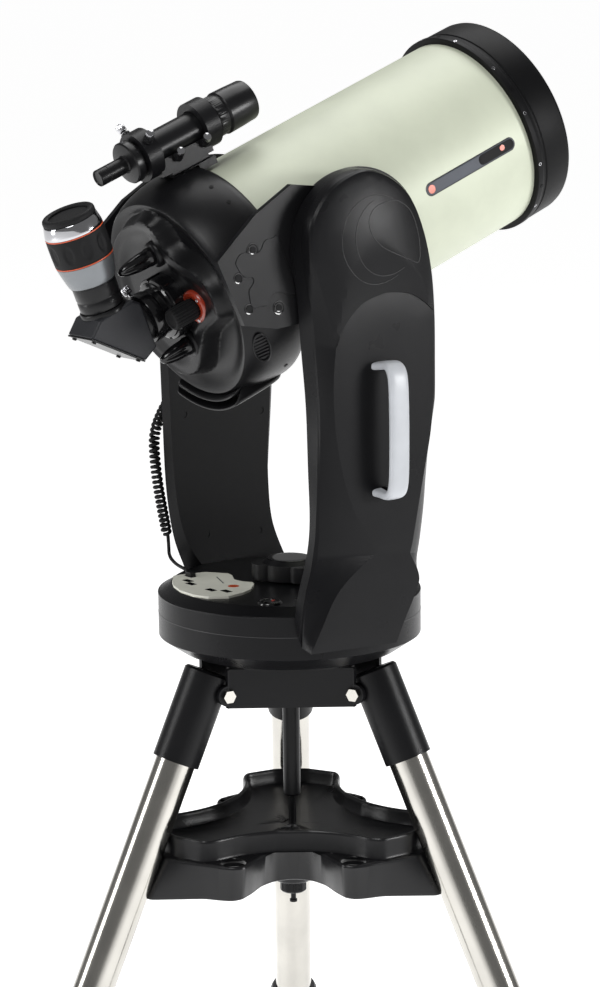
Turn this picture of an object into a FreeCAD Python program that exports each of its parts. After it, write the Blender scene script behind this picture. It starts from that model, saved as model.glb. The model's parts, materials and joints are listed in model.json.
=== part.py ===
import FreeCAD, Part
import math
import os

# Fork-mounted Schmidt-Cassegrain telescope on a three-legged field tripod.
# Millimetres, +Z up.  The origin is on the floor, on the azimuth axis.
# The altitude axis runs along X; the tube points along +Y and up.
# Shapes are modelled in the mount frame, whose z = 0 is the top of the tripod head,
# and lifted by HEAD_HEIGHT when they are written.

os.makedirs("parts", exist_ok=True)

V = FreeCAD.Vector
ORIGIN = V(0, 0, 0)
X = V(1, 0, 0)
Y = V(0, 1, 0)
Z = V(0, 0, 1)

# ---- driving dimensions ----
HEAD_HEIGHT = 737.0          # floor to the top of the tripod head, legs retracted
PIVOT_Z = 527.5              # altitude axis above the tripod head
TUBE_TILT = 21.5             # degrees that the tube points up at rest
FIT = 0.06                   # radial clearance of a running fit
SKIN = 3.0                   # wall of the moulded covers

# tripod
LEG_DIRECTIONS = {"a": 24.8, "b": 144.8, "c": 264.8}
LEG_TILT = 24.1              # degrees from the vertical
LEG_AXIS_R = 115.5           # leg axis to azimuth axis at the head's top
HINGE_R = 112.0
HINGE_Z = -34.0
HINGE_PIN_R = 5.0
LEG_TUBE_R = 25.4
LEG_WALL = 1.6
SOCKET_R = 30.0
EXTENSION_R = 22.2
HEAD_APOTHEM = 87.0
HEAD_DEPTH = 50.0
CHEEK_Y = (30.6, 37.0)
ROD_R = 4.9
ROD_END_Z = -332.0

# accessory tray
TRAY_TOP = -207.0
TRAY_DECK = -226.0
TRAY_LEDGE = -234.0
TRAY_BOTTOM = -286.0
TRAY_WALL = 4.0
TRAY_TIP_HALF = 22.0
TRAY_HOLE_R = 16.2
TRAY_HOLE = (132.5, 80.0)    # radial and sideways place of an eyepiece hole
TRAY_BAY_R = 145.0           # concave rim between two arms
TRAY_BAY_CENTRE = 240.0

# drive base
DRUM_R = 166.5
DRUM_FLOOR = 12.0
SEAM_Z = 58.5
RIM_Z = 83.5
DRUM_TOP = 94.0
FLAT_R = 150.0
SPINDLE_R = 24.0
CLUTCH_R = 48.0
SWITCH = (92.0, -95.0)
PORTS = ((-86, -93), (-66, -110), (-49, -117), (-4, -117), (14, -106))
PORT_SIZE = (16.0, 9.0)

# fork arms, as |x| stations from the tube's middle plane
ARM_IN = 149.0
ARM_SEAM = 166.0
ARM_OUT = 184.0
SHAFT_R = 14.0
CROWN = 4.0
SCREW_R = 4.5
ARM_SCREWS = ((-56, 294), (64, 287), (-24, 133), (59, 127))   # as (y, z)

# carrying handle
HANDLE_X = (206.0, 222.0)
HANDLE_Y = (-7.0, 27.0)
HANDLE_Z = (225.0, 397.0)
HANDLE_MIDDLE = sum(HANDLE_Y) / 2

# hand control, its cradle and its cord
CONTROL_X = (-213.0, -189.0)
CONTROL_Y = (-46.0, 10.0)
CONTROL_Z = (364.0, 506.0)
CRADLE_BACK = -ARM_OUT
KEY_ROWS = 6
KEY_COLUMNS = 3
KEY_R = 4.5
CABLE_R = 2.3
COIL_R = 7.5
CORD_ROUTE = [(-204, -20, 352), (-204, -29, 322), (-194, -60, 295), (-181, -83, 268),
              (-176, -85, 232), (-177, -80, 196), (-181, -71, 160), (-185, -63, 132),
              (-186, -60, 112)]
TAIL_ROUTE = [(-186, -60, 112), (-183, -62, 106.5), (-174, -65.5, 102.5), (-160, -70, 100.5),
              (-142, -76, 100), (-124, -82, 101), (-108, -87, 102), (-97, -90.5, 101.5)]

# optical tube, as stations along its axis from the altitude axis
TUBE_R = 126.6
TUBE_WALL = 1.5
TUBE_BACK = -95.0
RING_BACK = 309.0
RING_FRONT = 367.7
RING_R = 134.5
CELL_FLAT = 138.0
CELL_FLOOR = -174.0
FLANGE_R = 95.0
BRACKET_SCREWS = ((-137, 62), (-129, -17), (-168, 40), (-168, 0))
BAFFLE_R = 19.0
MIRROR_PLACE = (-110.0, -88.0)
MIRROR_R = 117.5
LOCK_KNOBS = ((3.0, 66.0), (16.0, -52.0))
FOCUS_KNOB = (54.5, 1.0)

# finder
FINDER_X = -4.0
FINDER_U = 180.0
FINDER_RINGS = ((-158.0, -138.0), (-69.0, -48.0))
FINDER_RING_R = 31.0
FINDER_TUBE_R = 20.5
THUMB_ANGLES = (40, 130)
LOCK_STATIONS = (-115.0, -74.0)
LOCK_WAY = V(0.8, 0, 0.6)

# visual back, diagonal and eyepiece
BACK_RING_R = 40.5
NOSE_R = 25.4
EYE_SOCKET_R = 28.8
NECK_R = 28.0
DIAGONAL_S = -272.0

made = {}


# ---- helpers ----
def keep(name, shape):
    """Lift a finished piece to its height above the floor and remember it."""
    shape = shape.copy()
    shape.translate(V(0, 0, HEAD_HEIGHT))
    made[name] = shape


def rod(radius, start, end):
    start = V(*start)
    run = V(*end) - start
    return Part.makeCylinder(radius, run.Length, start, run)


def block(x0, x1, y0, y1, z0, z1):
    return Part.makeBox(x1 - x0, y1 - y0, z1 - z0, V(x0, y0, z0))


def turned(profile, start=(0, 0, 0), axis=(0, 0, 1)):
    """Solid of revolution from (radius, station) corners about an axis."""
    corners = [V(r, 0, h) for r, h in profile]
    face = Part.Face(Part.makePolygon(corners + corners[:1]))
    solid = face.revolve(ORIGIN, Z, 360)
    solid.Placement = FreeCAD.Placement(V(*start), FreeCAD.Rotation(Z, V(*axis)))
    return solid


def plate(corners, thickness, lift=0.0):
    """Flat plate with its outline in XY, standing from z = lift."""
    points = [V(x, y, lift) for x, y in corners]
    return Part.Face(Part.makePolygon(points + points[:1])).extrude(V(0, 0, thickness))


def side_plate(corners, x0, x1):
    """Flat plate whose outline is given as (y, z), between two x stations."""
    points = [V(x0, y, z) for y, z in corners]
    return Part.Face(Part.makePolygon(points + points[:1])).extrude(V(x1 - x0, 0, 0))


def fuse(shapes):
    shapes = list(shapes)
    return shapes[0].multiFuse(shapes[1:]).removeSplitter()


def turn(shape, degrees, axis=Z, centre=ORIGIN):
    copy = shape.copy()
    copy.rotate(centre, axis, degrees)
    return copy


def mirrored(shape):
    return shape.mirror(ORIGIN, X)


def hexagon(across_flats, height, centre, axis):
    ring = [(across_flats / math.sqrt(3) * math.cos(math.radians(60 * k)),
             across_flats / math.sqrt(3) * math.sin(math.radians(60 * k))) for k in range(6)]
    nut = plate(ring, height)
    nut.Placement = FreeCAD.Placement(V(*centre), FreeCAD.Rotation(Z, V(*axis)))
    return nut


def toothed_wheel(outer, root, teeth, thickness, bore):
    ring = []
    for k in range(teeth):
        for step, radius in ((0.0, root), (0.3, outer), (0.5, outer), (0.8, root)):
            angle = 2 * math.pi * (k + step) / teeth
            ring.append((radius * math.cos(angle), radius * math.sin(angle)))
    return plate(ring, thickness).cut(Part.makeCylinder(bore, thickness))


def lobed_knob(radius, lobes, lobe_r, height):
    """Star grip: a disc with rounded lobes, standing on z = 0."""
    pieces = [Part.makeCylinder(radius - 0.7 * lobe_r, height)]
    for k in range(lobes):
        angle = 2 * math.pi * k / lobes
        reach = radius - lobe_r
        centre = V(reach * math.cos(angle), reach * math.sin(angle), 0)
        pieces.append(Part.makeCylinder(lobe_r, height, centre))
    return fuse(pieces)


# ---- tripod head and mount plate ----
def head_outline(grow):
    """Hexagon with three long walls between the legs and three short ones facing them."""
    corners = []
    apothem = HEAD_APOTHEM + grow
    short = math.asin(CHEEK_Y[1] / 118.0)
    reach = apothem / math.cos(math.radians(60) - short)
    for direction in sorted(LEG_DIRECTIONS.values()):
        for sign in (-1, 1):
            angle = math.radians(direction) + sign * short
            corners.append((reach * math.cos(angle), reach * math.sin(angle)))
    return corners


def tripod_head():
    body = plate(head_outline(0), HEAD_DEPTH, -HEAD_DEPTH)
    body = body.cut(plate(head_outline(-7), HEAD_DEPTH - 10, -HEAD_DEPTH - 0.01))
    extras = [Part.makeCylinder(26, HEAD_DEPTH - 8, V(0, 0, -HEAD_DEPTH))]
    for direction in LEG_DIRECTIONS.values():
        for low, high in ((CHEEK_Y[0], CHEEK_Y[1]), (-CHEEK_Y[1], -CHEEK_Y[0])):
            cheek = block(76, HINGE_R, low, high, -HEAD_DEPTH, -1)
            end = Part.makeCylinder(13, high - low, V(HINGE_R, low, HINGE_Z), Y)
            extras += [turn(cheek, direction), turn(end, direction)]
        rib = block(20, 82, -4, 4, -HEAD_DEPTH + 14, -8)
        extras.append(turn(rib, direction))
    body = fuse([body] + extras)
    for direction in LEG_DIRECTIONS.values():
        slot = block(86, 160, -CHEEK_Y[0], CHEEK_Y[0], -HEAD_DEPTH - 10, 5)
        pin = rod(HINGE_PIN_R, (HINGE_R, -60, HINGE_Z), (HINGE_R, 60, HINGE_Z))
        body = body.cut(turn(slot, direction)).cut(turn(pin, direction))
    body = body.cut(Part.makeCylinder(ROD_R, 100, V(0, 0, -80)))
    return body.cut(tripod_bolts())


def mount_plate():
    """Fixed floor of the drive base with the spindle that the fork turns on."""
    body = turned([(0, 0), (104, 0), (104, 9), (40, 9), (40, DRUM_FLOOR - 0.05),
                   (SPINDLE_R, DRUM_FLOOR - 0.05), (SPINDLE_R, 76), (0, 76)])
    body = body.cut(Part.makeCylinder(ROD_R, 9, ORIGIN)).cut(Part.makeCylinder(12, 60, V(0, 0, 20)))
    for k in range(3):
        hole = Part.makeCylinder(4.0, 9, V(60, 0, 0))
        body = body.cut(turn(hole, 84.8 + 120 * k))
    return body


def tripod_bolts():
    """Hinge pins with their heads and nuts, and the three screws that hold the mount."""
    pieces = []
    edge = CHEEK_Y[1]
    for direction in LEG_DIRECTIONS.values():
        pin = rod(HINGE_PIN_R, (HINGE_R, -edge - 3, HINGE_Z), (HINGE_R, edge + 3, HINGE_Z))
        head = hexagon(15, 5.5, (HINGE_R, edge, HINGE_Z), (0, 1, 0))
        nut = hexagon(15, 5.5, (HINGE_R, -edge, HINGE_Z), (0, -1, 0))
        pieces.append(turn(fuse([pin, head, nut]), direction))
    for k in range(3):
        screw = Part.makeCylinder(4.0, 19, V(60, 0, -10))
        grip = Part.makeCylinder(9.0, 12, V(60, 0, -22))
        pieces.append(turn(screw.fuse(grip), 84.8 + 120 * k))
    return Part.makeCompound(pieces)


def centre_rod():
    """Threaded rod: thick black upper part, thin lower part, and a small end button."""
    return turned([(0, 9), (ROD_R, 9), (ROD_R, -51), (9.5, -51), (11, -53), (11, -186), (9.5, -188),
                   (ROD_R, -190), (ROD_R, -320), (3.4, -321), (3.4, -328), (ROD_R, -329),
                   (ROD_R, ROD_END_Z), (0, ROD_END_Z)])


# ---- legs, built in the XZ plane and turned to their directions ----
LEG_TOP = V(LEG_AXIS_R, 0, 0)
LEG_WAY = V(math.sin(math.radians(LEG_TILT)), 0, -math.cos(math.radians(LEG_TILT)))
LEG_OUT = V(math.cos(math.radians(LEG_TILT)), 0, math.sin(math.radians(LEG_TILT)))
TUBE_START, TUBE_END = 40.0, 672.0
SOCKET_START, SOCKET_END = 9.0, 129.0
CLAMP_START, CLAMP_END = 645.0, 717.0
EXTENSION_START = 270.0
FLOOR_H = HEAD_HEIGHT / math.cos(math.radians(LEG_TILT))


def along(radius, start, end):
    return Part.makeCylinder(radius, end - start, LEG_TOP + LEG_WAY * start, LEG_WAY)


def leg_turned(profile):
    """Revolve (radius, distance down the leg) corners about the leg's axis."""
    return turned(profile, tuple(LEG_TOP), tuple(LEG_WAY))


def leg_fittings():
    """Hinged socket at the top of a leg and clamp collar at its lower end."""
    top = leg_turned([(0, SOCKET_START), (SOCKET_R - 3, SOCKET_START), (SOCKET_R, SOCKET_START + 3),
                      (SOCKET_R, SOCKET_END), (LEG_TUBE_R, SOCKET_END), (LEG_TUBE_R, TUBE_START),
                      (0, TUBE_START)])
    boss_y = CHEEK_Y[0] - 0.4
    boss = rod(12, (HINGE_R, -boss_y, HINGE_Z), (HINGE_R, boss_y, HINGE_Z))
    pin = rod(HINGE_PIN_R + FIT, (HINGE_R, -50, HINGE_Z), (HINGE_R, 50, HINGE_Z))
    top = top.fuse(boss.cut(along(LEG_TUBE_R, TUBE_START, 200))).cut(pin)
    clamp = leg_turned([(LEG_TUBE_R, CLAMP_START), (30, CLAMP_START), (33, CLAMP_START + 6),
                        (33, CLAMP_END - 6), (30, CLAMP_END), (EXTENSION_R + FIT, CLAMP_END),
                        (EXTENSION_R + FIT, TUBE_END), (LEG_TUBE_R, TUBE_END)])
    middle = LEG_TOP + LEG_WAY * (CLAMP_START + 50)
    lug = Part.makeCylinder(9, 16, middle + LEG_OUT * 29, LEG_OUT)
    bore = Part.makeCylinder(4 + FIT, 40, middle + LEG_OUT * 24, LEG_OUT)
    clamp = clamp.fuse(lug).cut(bore)
    return Part.makeCompound([top, clamp])


def leg_tube():
    return leg_turned([(LEG_TUBE_R, TUBE_START), (LEG_TUBE_R, TUBE_END),
                       (LEG_TUBE_R - LEG_WALL, TUBE_END), (LEG_TUBE_R - LEG_WALL, TUBE_START)])


def clamp_knob():
    """Hand screw of a leg clamp, its screw pointing at the leg."""
    middle = LEG_TOP + LEG_WAY * (CLAMP_START + 50)
    place = FreeCAD.Placement(middle + LEG_OUT * 46.0, FreeCAD.Rotation(Z, LEG_OUT))
    grip = lobed_knob(19, 3, 8, 13)
    grip.Placement = place
    screw = Part.makeCylinder(4, 20.5, middle + LEG_OUT * 26.0, LEG_OUT)
    return grip.fuse(screw)


def leg_extension():
    return leg_turned([(EXTENSION_R, EXTENSION_START), (EXTENSION_R, FLOOR_H - 42),
                       (EXTENSION_R - 1.5, FLOOR_H - 42), (EXTENSION_R - 1.5, EXTENSION_START)])


def leg_foot():
    foot = leg_turned([(0, FLOOR_H - 60), (EXTENSION_R - 1.5, FLOOR_H - 60),
                       (EXTENSION_R - 1.5, FLOOR_H - 42), (25, FLOOR_H - 42), (25, FLOOR_H - 30),
                       (21, FLOOR_H - 22), (21, FLOOR_H + 20), (0, FLOOR_H + 20)])
    return foot.cut(block(200, 700, -100, 100, -HEAD_HEIGHT - 100, -HEAD_HEIGHT))


# ---- accessory tray that spreads the legs ----
def leg_face_r(z):
    """Radial place of the inner side of a leg tube at height z."""
    tilt = math.radians(LEG_TILT)
    return LEG_AXIS_R - z * math.tan(tilt) - LEG_TUBE_R / math.cos(tilt)


def all_round(half):
    """Closed tray outline from one half-arm of (radial, sideways) corners, tip first."""
    corners = []
    for direction in sorted(LEG_DIRECTIONS.values()):
        angle = math.radians(direction)
        arm = [(r, -side) for r, side in reversed(half)] + list(half)
        for r, side in arm:
            corners.append((r * math.cos(angle) - side * math.sin(angle),
                            r * math.sin(angle) + side * math.cos(angle)))
    return corners


def inset(corners, distance):
    """Move every side of a counter-clockwise outline inward by the distance."""
    moved = []
    count = len(corners)
    for k in range(count):
        before = V(*corners[k - 1], 0)
        here = V(*corners[k], 0)
        after = V(*corners[(k + 1) % count], 0)
        one = (here - before).normalize()
        two = (after - here).normalize()
        inward = V(-one.y - two.y, one.x + two.x, 0).normalize()
        cosine = max(0.5, inward.dot(V(-one.y, one.x, 0)))
        point = here + inward * (distance / cosine)
        moved.append((point.x, point.y))
    return moved


def between(low_outline, low, high_outline, high):
    """Solid whose straight sides join two outlines with the same number of corners."""
    wires = []
    for outline, z in ((low_outline, low), (high_outline, high)):
        points = [V(x, y, z) for x, y in outline]
        wires.append(Part.makePolygon(points + points[:1]))
    return Part.makeLoft(wires, True, True)


def rim_half(z):
    """Half of one arm's rim: the tip, its shoulder and the concave bay to the middle."""
    half = [(leg_face_r(z) + 6, TRAY_TIP_HALF), (165, 64)]
    third = math.radians(60)
    for k in range(5):
        along_bay = math.radians(41 * (1 - k / 5))
        r = TRAY_BAY_CENTRE - TRAY_BAY_R * math.cos(along_bay)
        side = -TRAY_BAY_R * math.sin(along_bay)
        half.append((r * math.cos(third) - side * math.sin(third),
                     r * math.sin(third) + side * math.cos(third)))
    return half


def accessory_tray():
    ledge = all_round([(leg_face_r(TRAY_LEDGE) + 6, TRAY_TIP_HALF), (169.5, 65), (156, 82),
                       (142, 98), (128.5, 102), (110, 91), (85, 73), (63, 62), (46, 61)])
    bottom = all_round([(leg_face_r(TRAY_BOTTOM) + 6, TRAY_TIP_HALF - 4), (160, 53), (146, 69),
                        (134, 80), (120, 81), (98, 68), (73, 48), (50, 40), (31, 44)])
    rim_top = all_round(rim_half(TRAY_TOP))
    rim_low = all_round(rim_half(TRAY_LEDGE))
    roof = TRAY_LEDGE - TRAY_WALL
    skirt = between(bottom, TRAY_BOTTOM, ledge, TRAY_LEDGE)
    hollow = between(inset(bottom, TRAY_WALL), TRAY_BOTTOM - 0.1, inset(ledge, TRAY_WALL), roof)
    rim = between(rim_low, TRAY_LEDGE - 0.5, rim_top, TRAY_TOP)
    well = between(inset(rim_low, TRAY_WALL), TRAY_DECK, inset(rim_top, TRAY_WALL), TRAY_TOP + 0.1)
    body = skirt.cut(hollow).fuse(rim).cut(well)
    body = body.fuse(Part.makeCylinder(26, 70, V(0, 0, -302)))
    clearance = leg_turned([(0, 60), (LEG_TUBE_R + 0.6, 60), (LEG_TUBE_R + 0.6, 420), (0, 420)])
    for direction in LEG_DIRECTIONS.values():
        body = body.cut(turn(clearance, direction))
        for side in (-1, 1):
            foot = V(TRAY_HOLE[0], side * TRAY_HOLE[1], roof - 1)
            hole = Part.makeCylinder(TRAY_HOLE_R, TRAY_WALL + 2, foot)
            body = body.cut(turn(hole, direction))
    return body.cut(Part.makeCylinder(ROD_R + FIT, 200, V(0, 0, -310)))


def tension_knob():
    """Round nut on the rod that pulls the tray up against the legs."""
    grip = turned([(ROD_R + FIT, -317), (15, -317), (17, -315), (17, -302.3), (ROD_R + FIT, -302.3)])
    for k in range(12):
        flute = Part.makeCylinder(2.2, 20, V(18.2, 0, -320))
        grip = grip.cut(turn(flute, 30 * k))
    return grip


# ---- drive base ----
def drum_solid(grow=0.0):
    return turned([(0, DRUM_FLOOR), (140 + grow, DRUM_FLOOR), (DRUM_R + grow, 30), (DRUM_R + grow, RIM_Z),
                   (FLAT_R + grow, DRUM_TOP + grow), (0, DRUM_TOP + grow)])


def base_lower_shell():
    shell = turned([(SPINDLE_R + FIT, DRUM_FLOOR), (140, DRUM_FLOOR), (DRUM_R, 30), (DRUM_R, SEAM_Z),
                    (DRUM_R - SKIN, SEAM_Z), (DRUM_R - SKIN, 32), (139, DRUM_FLOOR + SKIN),
                    (34, DRUM_FLOOR + SKIN), (34, 39), (SPINDLE_R + FIT, 39)])
    return shell


def base_upper_shell():
    shell = turned([(DRUM_R, SEAM_Z), (DRUM_R, RIM_Z), (FLAT_R, DRUM_TOP), (7 + FIT, DRUM_TOP),
                    (7 + FIT, DRUM_TOP - 8), (14, DRUM_TOP - 8), (14, DRUM_TOP - SKIN),
                    (FLAT_R - 1, DRUM_TOP - SKIN), (DRUM_R - SKIN, RIM_Z - 2), (DRUM_R - SKIN, SEAM_Z)])
    x, y = SWITCH
    bezel = Part.makeCylinder(13.5, 2.5 + SKIN, V(x, y, DRUM_TOP - SKIN))
    return shell.fuse(bezel).cut(Part.makeCylinder(11, 30, V(x, y, DRUM_TOP - 10)))


def control_panel():
    """Socket panel on the drum, with its scalloped outline."""
    corners = [(-77, -127), (-55, -139), (-26, -148), (4, -149), (26, -141), (39, -120), (33, -94),
               (24, -76), (1, -55), (-9, -51), (-19, -58), (-36, -60), (-58, -48), (-70, -46),
               (-95, -63), (-102, -92), (-103, -108)]
    panel = plate(corners, 3.0, DRUM_TOP)
    wide, deep = PORT_SIZE
    for x, y in PORTS:
        panel = panel.cut(block(x - wide / 2, x + wide / 2, y - deep / 2, y + deep / 2, 90, 100))
    return panel


def power_switch():
    x, y = SWITCH
    rocker = Part.makeCylinder(10.2, 6, V(x, y, DRUM_TOP - 3.5))
    pivot = rod(1.5, (x - 10.6, y, DRUM_TOP - 1), (x + 10.6, y, DRUM_TOP - 1))
    return rocker.fuse(pivot)


def clutch_knob():
    """Star grip that locks the azimuth turn, on a short shaft through the drum's top."""
    grip = lobed_knob(CLUTCH_R, 3, 19, 20)
    grip.translate(V(0, 0, DRUM_TOP + 4))
    crown = Part.makeCone(34, 27, 6, V(0, 0, DRUM_TOP + 24))
    collar = Part.makeCylinder(16, 4, V(0, 0, DRUM_TOP + 0.2))
    shaft = Part.makeCylinder(7, 20, V(0, 0, 78))
    return fuse([grip, crown, collar, shaft])


# ---- fork arms ----
# Outlines are (y, z), from the foot's rear corner over the head to the foot's front corner,
# at three stations outward from the tube: the inner face, the seam and the outer face.
HEAD_TOP = [(-90, 566), (-68, 599), (-40, 617), (-8, 624), (28, 613), (58, 588), (78, 548)]
NEAR_REAR = {
    ARM_IN: [(-93, 58), (-95, 108), (-84, 145), (-76, 185), (-76, 253), (-79, 351), (-85, 418),
             (-89, 470), (-95, 522)],
    ARM_SEAM: [(-101, 52), (-99, 100), (-88, 140), (-79, 180), (-75, 253), (-73, 343), (-79, 426),
               (-86, 480), (-93, 522)],
    ARM_OUT: [(-104, 46), (-100, 88), (-84, 128), (-70, 180), (-62, 253), (-61, 350), (-62, 426),
              (-76, 480), (-89, 522)],
}
NEAR_FRONT = {
    ARM_IN: [(82, 492), (80, 430), (80, 339), (77, 273), (74, 220), (68, 177), (59, 128), (48, 98),
             (34, 62)],
    ARM_SEAM: [(90, 497), (95, 430), (95, 340), (90, 262), (86, 210), (80, 165), (70, 124), (57, 96),
               (33, 46)],
    ARM_OUT: [(89, 497), (94, 430), (94, 340), (90, 262), (86, 210), (80, 165), (70, 124), (56, 94),
              (31, 40)],
}
FAR_REAR = {
    ARM_IN: [(-28, 88), (-39, 101), (-51, 119), (-62, 145), (-70, 184), (-76, 263), (-80, 386),
             (-85, 460), (-94, 522)],
    ARM_SEAM: [(-38, 62), (-54, 100), (-63, 124), (-69, 150), (-74, 184), (-78, 261), (-81, 386),
               (-86, 470), (-93, 522)],
    ARM_OUT: [(-30, 50), (-42, 98), (-50, 124), (-56, 150), (-61, 184), (-63, 261), (-62, 386),
              (-75, 470), (-89, 522)],
}
FAR_FRONT = {
    ARM_IN: [(82, 492), (80, 430), (80, 339), (77, 273), (74, 220), (75, 179), (80, 138), (93, 103),
             (104, 80)],
    ARM_SEAM: [(90, 497), (95, 430), (95, 340), (90, 262), (86, 210), (84, 170), (86, 134), (94, 100),
               (98, 60)],
    ARM_OUT: [(89, 497), (94, 430), (94, 340), (90, 262), (86, 210), (83, 170), (84, 134), (90, 100),
              (90, 52)],
}


def arm_outline(x, rear, front, shrink=0.0):
    """Closed outline of an arm at a station: one smooth curve and a straight foot."""
    points = rear + HEAD_TOP + front
    middle = []
    for y, z in points:
        centre_z = min(max(z, 150.0), 540.0)
        away = math.hypot(y, z - centre_z)
        keep_part = (away - shrink) / away
        middle.append(V(x, y * keep_part, centre_z + (z - centre_z) * keep_part))
    curve = Part.BSplineCurve()
    curve.interpolate(middle)
    foot = Part.LineSegment(middle[-1], middle[0])
    return Part.Wire([curve.toShape(), foot.toShape()])


def arm_layer(rear, front, x0, x1, shrink=0.0):
    """Solid of an arm between two of its stations."""
    wires = [arm_outline(x, rear[x], front[x], shrink) for x in (x0, x1)]
    return Part.makeLoft(wires, True, True)


def arm_cavity(rear, front, x_at, x0, x1):
    """Straight hollow inside an arm, with the outline of one station made smaller."""
    face = Part.Face(arm_outline(x_at, rear[x_at], front[x_at], 2.2 * SKIN))
    face.translate(V(x0 - x_at, 0, 0))
    return face.extrude(V(x1 - x0, 0, 0))


def inner_arm(rear, front):
    """Inner half of an arm: open towards the seam, with the altitude bearing."""
    body = arm_layer(rear, front, ARM_IN, ARM_SEAM)
    body = body.cut(arm_cavity(rear, front, ARM_IN, ARM_IN + SKIN, ARM_SEAM + 1))
    ring = rod(97, (146.2, 0, PIVOT_Z), (ARM_IN + SKIN, 0, PIVOT_Z))
    boss = rod(24, (ARM_IN, 0, PIVOT_Z), (157, 0, PIVOT_Z))
    recess = rod(90, (146, 0, PIVOT_Z), (148, 0, PIVOT_Z))
    bore = rod(SHAFT_R + FIT, (140, 0, PIVOT_Z), (170, 0, PIVOT_Z))
    body = fuse([body, ring.cut(recess), boss]).cut(bore).cut(drum_solid())
    for y, z in ARM_SCREWS:
        body = body.cut(rod(SCREW_R, (ARM_IN - 1, y, z), (ARM_IN + 8, y, z)))
    return body


def outer_arm(rear, front):
    """Outer half of an arm, with the low crown over its rounded head."""
    body = arm_layer(rear, front, ARM_SEAM, ARM_OUT)
    crown = Part.makeCone(72, 50, CROWN, V(ARM_OUT, 0, 540), X)
    cavity = arm_cavity(rear, front, ARM_OUT, ARM_SEAM - 1, ARM_OUT - SKIN)
    return body.fuse(crown).cut(cavity).cut(drum_solid())


def carry_handle():
    """Bar handle on two feet, screwed to the near arm."""
    low, high = HANDLE_Z
    side = [(ARM_OUT, low), (HANDLE_X[1] - 8, low), (HANDLE_X[1], low + 12), (HANDLE_X[1], high - 12),
            (HANDLE_X[1] - 8, high), (ARM_OUT, high), (ARM_OUT, high - 20), (HANDLE_X[0] - 6, high - 20),
            (HANDLE_X[0], high - 28), (HANDLE_X[0], low + 28), (HANDLE_X[0] - 6, low + 20),
            (ARM_OUT, low + 20)]
    points = [V(x, HANDLE_Y[0], z) for x, z in side]
    body = Part.Face(Part.makePolygon(points + points[:1]))
    body = body.extrude(V(0, HANDLE_Y[1] - HANDLE_Y[0], 0))
    for z in handle_screws():
        body = body.cut(rod(5.5, (ARM_OUT, HANDLE_MIDDLE, z), (230, HANDLE_MIDDLE, z)))
    return body


def handle_screws():
    return (HANDLE_Z[0] + 10, HANDLE_Z[1] - 10)


def fork_screws():
    """Screws in the arms' inner faces and in the carrying handle."""
    pieces = []
    for sign in (-1, 1):
        for y, z in ARM_SCREWS:
            pieces.append(rod(SCREW_R, (sign * (ARM_IN + 0.8), y, z), (sign * (ARM_IN + 6), y, z)))
    for z in handle_screws():
        pieces.append(rod(5.5, (ARM_OUT, HANDLE_MIDDLE, z), (HANDLE_X[1] - 12, HANDLE_MIDDLE, z)))
    return Part.makeCompound(pieces)


def drive_motors():
    """Azimuth motor with its worm in the drum, altitude motor with its worm in the far arm."""
    floor = DRUM_FLOOR + SKIN
    azimuth = fuse([block(-72, -20, 66, 108, floor, 56), rod(5.5, (-21, 66.8, 45), (26, 66.8, 45)),
                    block(26, 34, 60.8, 76, floor, 54)])
    inside = -(ARM_IN + SKIN)
    altitude = fuse([block(-178, inside, -34, 34, 412, 462), block(-168, inside, -34, -26, 461, 482),
                     block(-168, inside, 26, 34, 461, 482),
                     rod(5, (-161.5, -27, 476.4), (-161.5, 27, 476.4))])
    return Part.makeCompound([azimuth, altitude])


# ---- hand control, its cradle and its cord, on the far arm ----
def control_cradle():
    """Open pocket that holds the hand control by its lower half."""
    y0, y1 = CONTROL_Y
    z0 = CONTROL_Z[0]
    pocket = block(CONTROL_X[0] + 6, CRADLE_BACK, y0 - 4, y1 + 4, z0 - 4, z0 + 84)
    room = block(CONTROL_X[0] - 20, CONTROL_X[1], y0, y1, z0, z0 + 100)
    notch = block(CONTROL_X[0] - 20, CONTROL_X[1] + 1, y0 + 12, y1 - 12, z0 - 10, z0 + 2)
    return pocket.cut(room).cut(notch)


def key_places():
    y_step = (CONTROL_Y[1] - CONTROL_Y[0] - 20) / (KEY_COLUMNS - 1)
    for row in range(KEY_ROWS):
        for column in range(KEY_COLUMNS):
            yield CONTROL_Y[0] + 10 + y_step * column, CONTROL_Z[0] + 18 + 13 * row


def hand_control():
    """Hollow handset with key holes, a display window recess and a cord boot."""
    x0, x1 = CONTROL_X
    y0, y1 = CONTROL_Y
    z0, z1 = CONTROL_Z
    body = block(x0, x1, y0, y1, z0, z1)
    room = block(x0 + 3, x1 - 3, y0 + 3, y1 - 3, z0 + 6, z1 - 3)
    window = block(x0 - 1, x0 + 1, y0 + 8, y1 - 8, z1 - 36, z1 - 16)
    body = body.cut(room).cut(window)
    for y, z in key_places():
        body = body.cut(rod(KEY_R + 0.3, (x0 - 1, y, z), (x0 + 4, y, z)))
    boot = Part.makeCone(5.5, 3.6, 12, V(CORD_ROUTE[0][0], CORD_ROUTE[0][1], z0), V(0, 0, -1))
    return body.fuse(boot)


def keypad():
    """One rubber mat that carries all the keys."""
    x0 = CONTROL_X[0]
    y0, y1 = CONTROL_Y
    mat = block(x0 + 4, x0 + 5.5, y0 + 4, y1 - 4, CONTROL_Z[0] + 8, CONTROL_Z[0] + 96)
    keys = [rod(KEY_R, (x0 - 1.6, y, z), (x0 + 4.5, y, z)) for y, z in key_places()]
    return fuse([mat] + keys)


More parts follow.
